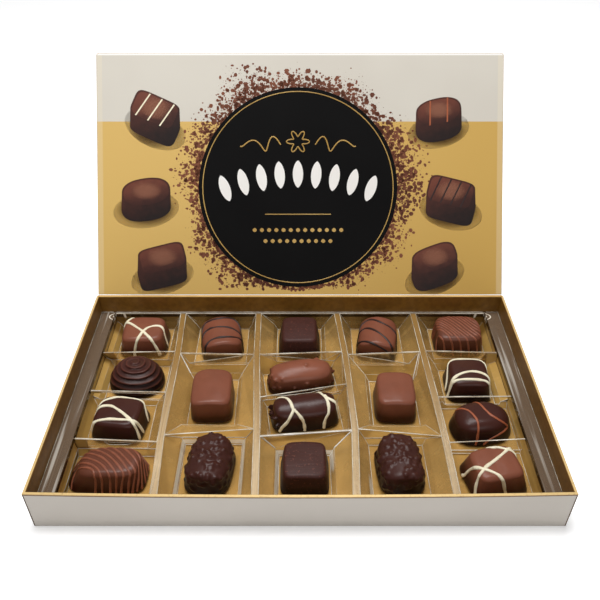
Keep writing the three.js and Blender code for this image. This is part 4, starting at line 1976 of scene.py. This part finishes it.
    def stripes(self, name: str, motif: Motif) -> list[bpy.types.Object]:
        """Makes the stripes across one pictured chocolate.

        Args:
            name: The chocolate's name.
            motif: The chocolate.

        Returns:
            The pieces.
        """
        made = []
        ink = self.palette.drizzle[motif.tint]
        t = np.linspace(-1, 1, 9)
        for stripe in range(motif.stripes):
            middle = (stripe - (motif.stripes - 1) / 2) * motif.length / (motif.stripes + 0.6)
            path = np.stack([middle + self.STRIPE_SLANT * t, t * motif.width * self.STRIPE_REACH], axis=-1)
            aside = (self.STRIPE_HALF_WIDTH, 0)
            band = np.concatenate([path + aside, (path - aside)[::-1]])
            band = turned(band, motif.turn, motif.x, motif.y - self.TOP_DROP)
            made.append(self.patch(f"{name}_stripe_{stripe}", band, 4 * self.lift, ink))
        return made

    def ring_and_rule(self) -> list[bpy.types.Object]:
        """Makes the thin gold ring inside the disc and the gold rule across it.

        Returns:
            The pieces.
        """
        x, y, _ = self.disc
        level = y - self.RULE_DROP
        rule = np.array([[x - self.RULE_HALF, level], [x + self.RULE_HALF, level]])
        return [
            self.line("gold_ring", self.around(self.ring, 96), closed=True, radius=0.32),
            self.line("gold_rule", rule, closed=False, radius=0.3),
        ]

    def flourish(self, side: int) -> bpy.types.Object:
        """Makes the gold flourish on one side of the rosette.

        Args:
            side: -1 for the left, 1 for the right.

        Returns:
            The piece.
        """
        x0, y0, _ = self.disc
        s = np.linspace(0, 1, 60)
        curl = 6.5 * (1 - s) ** 0.7 + 1.0
        x = x0 + side * (self.FLOURISH_START + self.FLOURISH_LENGTH * s + 1.5 * np.sin(9 * s))
        y = y0 + self.FLOURISH_RISE + curl * 0.75 * np.sin(11 * s)
        path = np.stack([x, y], axis=-1)
        return self.line(f"gold_flourish_{side + 1}", path, closed=False, radius=0.45)

    def rosette(self) -> bpy.types.Object:
        """Makes the gold line round six petals.

        Returns:
            The piece.
        """
        count = 72
        reach = self.ROSETTE_RADIUS + self.PETAL * np.cos(6 * turns(count))
        bloom = self.around(reach, count, self.ROSETTE_RISE)
        return self.line("gold_rosette", bloom, closed=True, radius=0.4)

    def garland(self) -> list[bpy.types.Object]:
        """Makes the pale leaves that stand in an arc, each turned away from its middle.

        Returns:
            The pieces.
        """
        made = []
        for index in range(-self.LEAVES, self.LEAVES + 1):
            u = index * self.LEAF_PITCH
            place = (u, self.LEAF_RISE - self.LEAF_FALL * u**2)
            name = f"pale_leaf_{index + self.LEAVES + 1}"
            turn = -self.LEAF_TURN * index
            made.append(self.leaf(name, place, self.LEAF_HALF, turn, self.palette.pale_ink))
        return made

    def dots(self) -> list[bpy.types.Object]:
        """Makes the two rows of gold dots.

        Returns:
            The pieces.
        """
        made = []
        for row, count in self.DOT_ROWS:
            for index in range(count):
                place = ((index - (count - 1) / 2) * self.DOT_PITCH, -row)
                name = f"gold_dot_{row}_{index}"
                made.append(self.leaf(name, place, self.DOT_HALF, 0.0, self.palette.gold_ink))
        return made

    def leaf(
        self,
        name: str,
        place: tuple[float, float],
        half: tuple[float, float],
        turn: float,
        ink: bpy.types.Material,
    ) -> bpy.types.Object:
        """Makes one leaf-shaped print on the disc.

        Args:
            name: Its name.
            place: How far right of the disc's middle it lies and how far above it.
            half: Half its height and half its width.
            turn: Its turn to the left in degrees.
            ink: Its finish.

        Returns:
            The piece.
        """
        t = turns(32)
        x = half[1] * np.cos(t) * np.abs(np.cos(t)) ** 0.35
        y = half[0] * np.sin(t)
        x0, y0, _ = self.disc
        outline = turned(np.stack([x, y], axis=-1), turn, x0 + place[0], y0 + place[1])
        return self.patch(name, outline, 2 * self.lift, ink)

    def dust(self) -> bpy.types.Object:
        """Makes the cocoa flecks that burst out from behind the disc.

        Returns:
            The piece.
        """
        radius = self.disc[2]
        turn = turns(self.FLECK_SECTORS)
        burst = 0.55 + 0.3 * np.sin(3 * turn + 1.0) + 0.25 * np.sin(7 * turn)
        burst += 0.2 * np.sin(12 * turn + 2.0)
        points, weight = [], []
        for far in np.linspace(radius - 1, radius + self.FLECK_REACH, self.FLECK_RINGS):
            ring = self.around(far, self.FLECK_SECTORS)
            points.append(np.column_stack([ring, np.full(self.FLECK_SECTORS, self.lift / 2)]))
            span = (far - radius) / (10 + 16 * np.clip(burst, 0, 1.2))
            weight.append(np.clip(1 - span, 0, 1) ** 2)
        flat = np.concatenate(points)
        inside = (flat[:, 1] > LID_LOW + 1.5) & (flat[:, 1] < LID_HIGH - 3)
        inside &= abs(flat[:, 0]) < LID_HALF - 2
        faces = [f for f in ring_faces(self.FLECK_RINGS, self.FLECK_SECTORS) if all(inside[list(f)])]
        guide = mesh_from("dust_guide", self.lay(flat), faces)
        store(guide, "weight", "FLOAT", np.concatenate(weight))
        least, most = self.FLECK_SIZES
        values = {
            "Density": self.FLECK_DENSITY,
            "Least": least * MM,
            "Most": most * MM,
            "Seed": self.FLECK_SEED,
            "Material": self.palette.cocoa_ink,
        }
        return self.flecks.run("cocoa_flecks", guide, values)

    def crease(self) -> bpy.types.Object:
        """Makes the folded paper strip between the tray's back wall and the lid.

        Returns:
            The piece.
        """
        front, back = HALF_DEPTH - WALL + 0.1, HALF_DEPTH + 0.25
        path = [
            (front, WALL_HEIGHT + 0.02),
            (front, WALL_HEIGHT + 0.2),
            (HALF_DEPTH - 0.1, WALL_HEIGHT + 0.28),
            (back, WALL_HEIGHT + 0.22),
            (back, WALL_HEIGHT + 0.02),
        ]
        points = np.array([(x, y, z) for x in (-LID_HALF, LID_HALF) for y, z in path])
        made = mesh_from("lid_crease", points, prism_faces(len(path)), [self.palette.crease], smooth=False)
        return add_object("lid_crease", made)

    def build(self) -> list[bpy.types.Object]:
        """Makes the panel, its print and the crease along its foot.

        Returns:
            The pieces.
        """
        board = self.panel()
        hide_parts("lid_panel")
        circle = self.around(self.disc[2], 128)
        pieces = [
            board,
            self.patch("dark_disc", circle, self.lift, self.palette.black_ink),
            self.dust(),
            *self.ring_and_rule(),
            self.flourish(-1),
            self.flourish(1),
            self.rosette(),
            *self.garland(),
            *self.dots(),
        ]
        for index, motif in enumerate(self.MOTIFS, 1):
            pieces += self.motif(index, motif)
        for piece in pieces:
            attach(piece, LID_BODY)
        crease = self.crease()
        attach(crease, BOX_BODY)
        return [*pieces, crease]


# Forms that several pralines share
LOG_ALONG_Y: dict[str, Any] = {"taper": 0.93, "round": 0.14, "arch_x": 0.34, "arch_y": 0.05}
LOG_ALONG_X: dict[str, Any] = {"taper": 0.9, "square": 3.6, "arch_x": 0.08, "arch_y": 0.34}
NUT: dict[str, Any] = {**LOG_ALONG_Y, "taper": 0.92, "round": 0.24, "square": 3.4, "relief": Relief.NUTTY}
CUBE: dict[str, Any] = {"round": 0.13, "square": 6.0, "relief": Relief.SCORED}

PRALINES = (
    Praline(
        "praline_milk_crossed_back", Coat.MILK, -98, 56.6, 1, 29.5, 27, 14,
        strands=(
            ((-25, 99), (-29, 60), (-36, 38), (-50, 22), (-72, 2), (-99, -22)),
            (
                (-98, 52), (-62, 32), (-35, 17), (-16, -1), (2, -19),
                (21, -42), (38, -60), (60, -81), (73, -93),
            ),
            (
                (-32, -100), (-27, -85), (-17, -64), (-6, -42), (2, -19),
                (13, -3), (29, 4), (43, 2), (58, -8), (99, -29),
            ),
        ),
    ),
    Praline(
        "praline_dark_dome", Coat.DARK, -96.7, 21, 0, 32, 27, 17,
        taper=1.0, round=0.0, dome=1.2, square=2.2, arch_x=0.0, arch_y=0.0, relief=Relief.WOUND,
    ),
    Praline(
        "praline_dark_laced", Coat.DARK, -99.6, -13.4, -8, 28.5, 26, 13,
        strands=(
            ((-99, 4), (-60, 14), (-34, 32), (-11, 44), (12, 45), (33, 45), (52, 43), (99, 35)),
            (
                (-100, -20), (-55, -2), (-35, 8), (-19, 9), (-4, 2),
                (16, -11), (33, -24), (48, -36), (70, -49), (96, -68),
            ),
            (
                (-96, -66), (-56, -49), (-39, -41), (-24, -36), (-8, -32),
                (14, -30), (31, -28), (60, -28), (100, -29),
            ),
        ),
    ),
    Praline(
        "praline_milk_ribbed_long", Coat.MILK, -98.8, -48.6, -1, 40, 24.5, 13.6,
        # Darker body: partly its own tone, partly painted shade in the valleys between the ribs
        taper=0.78, round=0.22, square=3.4, arch_x=0.1, arch_y=0.1, nose=0.2, lean=2.4, shade=0.62,
        tint=Tint.MILK, strand_width=1.25,
        strands=(
            (
                (-22, -99), (-20, -82), (-17, -50), (-19, -33), (-28, -22),
                (-45, -17), (-64, -22), (-78, -45), (-87, -74),
            ),
            ((-4, -99), (-5, -85), (-6, -60), (-9, -38), (-18, -21), (-32, -8), (-58, 4), (-99, 12)),
            ((16, -99), (13, -80), (7, -50), (0, -32), (-10, -15), (-24, 0), (-48, 16), (-99, 34)),
            ((30, -99), (26, -80), (18, -50), (9, -28), (-5, -4), (-20, 13), (-48, 32), (-96, 53)),
            ((43, -98), (38, -80), (29, -50), (20, -28), (6, -3), (-12, 20), (-38, 40), (-93, 68)),
            ((61, -95), (54, -78), (40, -46), (28, -25), (15, 0), (-2, 24), (-30, 50), (-84, 80)),
            ((71, -90), (65, -74), (51, -42), (36, -19), (21, 6), (5, 30), (-22, 58), (-66, 92)),
            ((81, -81), (75, -66), (61, -34), (44, -10), (30, 14), (14, 38), (-10, 66), (-42, 98)),
            ((92, -66), (81, -45), (65, -16), (50, 4), (36, 26), (20, 50), (0, 78), (-16, 99)),
            ((98, -38), (86, -19), (71, 5), (54, 27), (40, 46), (20, 76), (8, 99)),
            ((99, -8), (88, 10), (74, 30), (58, 50), (42, 72), (30, 99)),
            ((99, 24), (90, 38), (76, 56), (60, 76), (50, 99)),
            ((98, 56), (86, 70), (74, 86), (68, 99)),
        ),
    ),
    Praline(
        "praline_milk_striped_left", Coat.MILK, -49.2, 54.4, 8, 26, 29, 14.5, **LOG_ALONG_Y,
        tint=Tint.COCOA, strand_width=1.4,
        strands=(
            (
                (-99, -8), (-62, 8), (-39, 33), (-26, 37), (-2, 37),
                (28, 40), (42, 32), (62, 6), (99, -18),
            ),
            (
                (-98, -48), (-58, -18), (-40, 3), (-28, 8), (-13, 7),
                (7, 5), (24, 3), (40, -4), (66, -22), (99, -42),
            ),
            (
                (-91, -83), (-51, -50), (-36, -37), (-26, -31), (-11, -29),
                (7, -29), (26, -27), (43, -26), (70, -36), (99, -56),
            ),
        ),
    ),
    Praline(
        "praline_milk_plain_left", Coat.MILK, -50, 3.4, 1, 24, 30, 16,
        taper=0.94, round=0.14, arch_x=0.14,
    ),
    Praline("praline_dark_nut_left", Coat.DARK, -46.8, -44.9, -7, 24.5, 33.4, 14.4, **NUT),
    Praline("praline_dark_cube_back", Coat.DARK, -0.4, 55.8, 0, 26, 29, 14, taper=0.84, **CUBE),
    Praline(
        "praline_milk_lumpy", Coat.MILK, 0.4, 21.2, 9, 40, 20.5, 14.4, taper=0.88, square=3.2,
        arch_x=0.26, arch_y=0.34, shade=1.12, relief=Relief.LUMPY,
    ),
    Praline(
        "praline_dark_log_laced", Coat.DARK, 2.6, -7.6, 9, 38, 20, 14.5, **LOG_ALONG_X,
        relief=Relief.RAGGED,
        strands=(
            (
                (-70, 99), (-48, 50), (-31, 30), (-24, 20), (-20, 4), (-18, -14),
                (-18, -27), (-26, -42), (-42, -58), (-64, -72), (-83, -84),
            ),
            ((-17, -22), (-12, -32), (-8, -44), (-7, -66), (-7, -84), (-8, -100)),
            (
                (8, 100), (20, 50), (25, 16), (29, -5), (30, -21),
                (30, -38), (36, -62), (43, -82), (49, -98),
            ),
            ((27, 14), (32, -2), (42, -12), (55, -20), (74, -28), (99, -40)),
        ),
    ),
    Praline(
        "praline_dark_cube_front", Coat.DARK, 2.4, -47.8, 0, 25.2, 27.4, 13.8, taper=0.87, **CUBE,
    ),
    Praline(
        "praline_milk_striped_right", Coat.MILK, 48.7, 54.2, -9, 25, 29, 14.5, **LOG_ALONG_Y,
        tint=Tint.COCOA, strand_width=1.4,
        strands=(
            (
                (-99, -14), (-62, 2), (-42, 24), (-29, 33), (-16, 32), (0, 25),
                (15, 19), (28, 16), (42, 8), (64, -10), (99, -32),
            ),
            (
                (-100, -22), (-71, -10), (-45, 0), (-31, 4), (-14, -3), (3, -14),
                (17, -23), (28, -32), (39, -43), (61, -58), (93, -79),
            ),
            (
                (-98, -62), (-80, -46), (-58, -38), (-41, -36), (-26, -40),
                (-11, -46), (10, -55), (38, -64), (94, -84),
            ),
        ),
    ),
    Praline(
        "praline_milk_plain_right", Coat.MILK, 54.2, 2.6, -1, 23.6, 29, 15.5,
        taper=0.9, round=0.16, arch_x=0.08,
    ),
    Praline("praline_dark_nut_right", Coat.DARK, 51.8, -44.9, 4, 24.5, 33.4, 14.4, **NUT),
    Praline(
        "praline_milk_ribbed_square", Coat.MILK, 99.4, 57, -1, 30, 26, 14,
        # Darker body: partly its own tone, partly painted shade in the valleys between the ribs
        taper=0.9, round=0.18, square=4.4, shade=0.62, tint=Tint.MILK, strand_width=1.15,
        strands=(
            (
                (-62, -98), (-55, -80), (-46, -56), (-44, -42),
                (-52, -30), (-66, -32), (-80, -48), (-92, -70),
            ),
            (
                (-25, -100), (-25, -82), (-24, -58), (-26, -40),
                (-33, -24), (-46, -8), (-66, 2), (-99, 10),
            ),
            ((7, -100), (3, -82), (-3, -56), (-10, -38), (-21, -17), (-34, 2), (-54, 18), (-99, 38)),
            ((39, -99), (30, -81), (16, -54), (7, -38), (-7, -17), (-22, 8), (-40, 30), (-90, 68)),
            ((74, -93), (60, -76), (38, -52), (26, -38), (11, -16), (-6, 12), (-24, 38), (-70, 92)),
            ((98, -58), (74, -47), (46, -32), (30, -13), (12, 17), (-4, 41), (-40, 99)),
            ((99, -20), (72, -12), (48, -4), (34, 10), (20, 32), (4, 58), (-12, 99)),
            ((99, 16), (70, 14), (48, 20), (38, 34), (26, 60), (14, 99)),
            ((-19, -36), (-28, -20), (-40, -3), (-60, 10), (-99, 24)),
            ((-2, -36), (-14, -17), (-28, 5), (-47, 24), (-95, 52)),
            ((17, -37), (2, -16), (-14, 10), (-32, 34), (-82, 80)),
            ((37, -35), (20, -14), (3, 15), (-14, 40), (-54, 97)),
            ((50, -18), (32, -2), (16, 25), (0, 50), (-26, 99)),
            ((99, 2), (72, 2), (50, 8), (36, 22), (22, 46), (9, 78), (2, 99)),
            ((99, 42), (74, 38), (52, 42), (42, 60), (34, 99)),
        ),
    ),
    Praline(
        "praline_dark_striped", Coat.DARK, 98.4, 17.3, -1, 26, 26.5, 14, arch_x=0.1,
        strands=(
            (
                (-99, -30), (-74, 0), (-52, 30), (-39, 39), (-26, 42),
                (-3, 41), (28, 41), (44, 36), (64, 16), (99, -8),
            ),
            (
                (-97, -69), (-82, -56), (-62, -38), (-44, -27), (-30, -17), (-15, -10),
                (4, -6), (24, -8), (40, -16), (60, -34), (97, -68),
            ),
            (
                (-96, -70), (-78, -56), (-56, -40), (-40, -34), (-23, -32),
                (1, -32), (21, -33), (38, -36), (60, -48), (98, -76),
            ),
        ),
    ),
    Praline(
        "praline_dark_heart", Coat.DARK, 99.4, -15.6, 8, 33, 24.5, 13.5,
        taper=0.88, round=0.44, square=2.6, arch_x=0.1, point=0.06, tint=Tint.CARAMEL, strand_width=1.3,
        strands=(
            (
                (-75, 80), (-52, 44), (-33, 22), (-24, 8), (-19, -9),
                (-17, -28), (-19, -46), (-24, -63), (-30, -82), (-37, -97),
            ),
            (
                (-21, 99), (-6, 56), (3, 24), (9, -3), (16, -18), (26, -30),
                (40, -38), (54, -44), (46, -58), (28, -72), (8, -84), (-12, -100),
            ),
        ),
    ),
    Praline(
        "praline_milk_crossed_front", Coat.MILK, 99.6, -50, 12, 30, 26.5, 14, taper=0.8,
        strands=(
            (
                (96, 69), (56, 42), (31, 25), (12, 12), (-8, 0), (-25, -9),
                (-38, -19), (-54, -29), (-72, -43), (-85, -60), (-95, -73),
            ),
            (
                (-100, 36), (-92, 25), (-79, 18), (-64, 10), (-48, -1), (-36, -11), (-25, -20),
                (-15, -30), (-9, -40), (-4, -54), (0, -72), (4, -84), (11, -100),
            ),
            ((-14, 99), (-6, 60), (4, 41), (16, 37), (28, 30), (42, 22), (62, 8), (99, -12)),
        ),
    ),
)


@dataclass
class Assortment:
    """The eighteen pralines with their drizzle."""

    palette: Palette
    tree: StrandTree
    flatness: float = 0.62
    nut_roughness: float = 0.06

    def build(self) -> list[bpy.types.Object]:
        """Makes every praline.

        Returns:
            The pieces.
        """
        made = []
        for index, plain in enumerate(PRALINES):
            praline = replace(plain, seed=index)
            finish = self.palette.chocolate[praline.coat].material(
                seed=float(index),
                top=PRALINE_BASE + praline.height,
                shade=praline.shade,
                scored=praline.relief is Relief.SCORED,
                dull=self.nut_roughness if praline.relief is Relief.NUTTY else 0.0,
            )
            body = praline.body(finish)
            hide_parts(praline.name)
            pieces = [body]
            if praline.strands:
                values = {
                    "Half width": praline.strand_width / 2 * MM,
                    "Flatness": self.flatness,
                    "Material": self.palette.drizzle[praline.tint],
                }
                label = praline.name.replace("praline", "drizzle")
                pieces.append(self.tree.run(label, praline.strand_guide(), values))
            for piece in pieces:
                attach(piece, BOX_BODY)
            made += pieces
        return made


@dataclass
class Studio:
    """A pale floor, soft lights and a camera at the photograph's angle."""

    lens: float = 42.4
    film_width: float = 36.0
    eye: tuple[float, float, float] = (0.0, -0.2849, 0.2976)
    aim: tuple[float, float, float] = (0.0, 0.1061, 0.0)
    floor_side: float = 6000.0
    glow: float = 0.55
    shadow_glow: float = 0.2
    sky: float = 0.2

    # Each light's name, its place and two sides in metres, and its watts
    LIGHTS = (
        ("key", (-0.08, 0.12, 1.0), (0.8, 0.35), 9.0),
        ("front", (0.15, -0.95, 0.6), (0.9, 0.4), 2.1),
    )
    LIGHTS_AIM = (0.0, 0.02, 0.01)

    def floor_finish(self) -> bpy.types.Material:
        """Makes a floor that glows softly, with a painted shadow close round the box where its glow is
        lower.

        Returns:
            The material.
        """
        shader = Shader("studio_floor")
        cloud = shader.noise(400.0, 1.0)
        x, y, _ = shader.axes()
        apart = (abs(x) - HALF_WIDTH).most(abs(y) - HALF_DEPTH)
        under = (self.shadow_glow / self.glow,) * 3
        return shader.surface(
            Base_Color=shader.mix(cloud, srgb(246, 246, 246), srgb(243, 243, 244)),
            Roughness=0.7,
            Specular_IOR_Level=0.1,
            # Painted shadow: the glow falls off close round the box
            Emission_Color=shader.mix(apart.rise(-4.0, 14.0), under, (1.0, 1.0, 1.0)),
            Emission_Strength=self.glow,
        )

    def floor(self) -> None:
        """Makes the floor."""
        half = self.floor_side / 2
        corners = np.array([(-half, -half, 0), (half, -half, 0), (half, half, 0), (-half, half, 0)])
        made = mesh_from("studio_floor", corners, [(0, 1, 2, 3)], [self.floor_finish()])
        add_object("studio_floor", made)

    def hang(self, name: str, what: bpy.types.ID, place: Sequence[float], aim: Sequence[float]) -> None:
        """Puts a light or a camera in the scene, facing a point.

        Args:
            name: Its name.
            what: The light or camera.
            place: Where it is, in metres.
            aim: What it faces, in metres.
        """
        made = bpy.data.objects.new(name, what)
        made.location = place
        made.rotation_euler = (Vector(aim) - Vector(place)).to_track_quat("-Z", "Y").to_euler()
        bpy.context.collection.objects.link(made)

    def lights(self) -> None:
        """Makes the sky and the soft lights."""
        world = bpy.data.worlds.new("studio")
        world.use_nodes = True
        background = world.node_tree.nodes["Background"]
        background.inputs["Color"].default_value = (1.0, 1.0, 1.0, 1.0)
        background.inputs["Strength"].default_value = self.sky
        bpy.context.scene.world = world
        for name, place, sides, watts in self.LIGHTS:
            lamp = bpy.data.lights.new(name, "AREA")
            lamp.shape = "RECTANGLE"
            lamp.size, lamp.size_y = sides
            lamp.energy = watts
            self.hang(name, lamp, place, self.LIGHTS_AIM)

    def camera(self) -> None:
        """Makes the camera."""
        camera = bpy.data.cameras.new("camera")
        camera.lens = self.lens
        camera.sensor_width = self.film_width
        self.hang("camera", camera, self.eye, self.aim)
        bpy.context.scene.camera = bpy.data.objects["camera"]
        bpy.context.scene.view_settings.view_transform = "Standard"

    def build(self) -> None:
        """Makes the floor, the lights and the camera."""
        self.floor()
        self.lights()
        self.camera()


def report(label: str, pieces: Iterable[bpy.types.Object]) -> None:
    """Logs each piece with its number of faces."""
    for piece in pieces:
        LOG.info("%s: %s, %d faces", label, piece.name, len(piece.data.polygons))


def main() -> None:
    """Builds the scene."""
    logging.basicConfig(level=logging.INFO, format="%(message)s")
    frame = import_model()
    palette = Palette()
    Studio().build()
    report("tray", Tray(palette).build())
    lines = LineTree()
    report("insert", Insert(palette, lines).build(frame["nodes"]["clear_insert"]))
    report("pralines", Assortment(palette, StrandTree()).build())
    report("lid", Lid(palette, lines, FleckTree()).build())


if __name__ == "__main__":
    main()
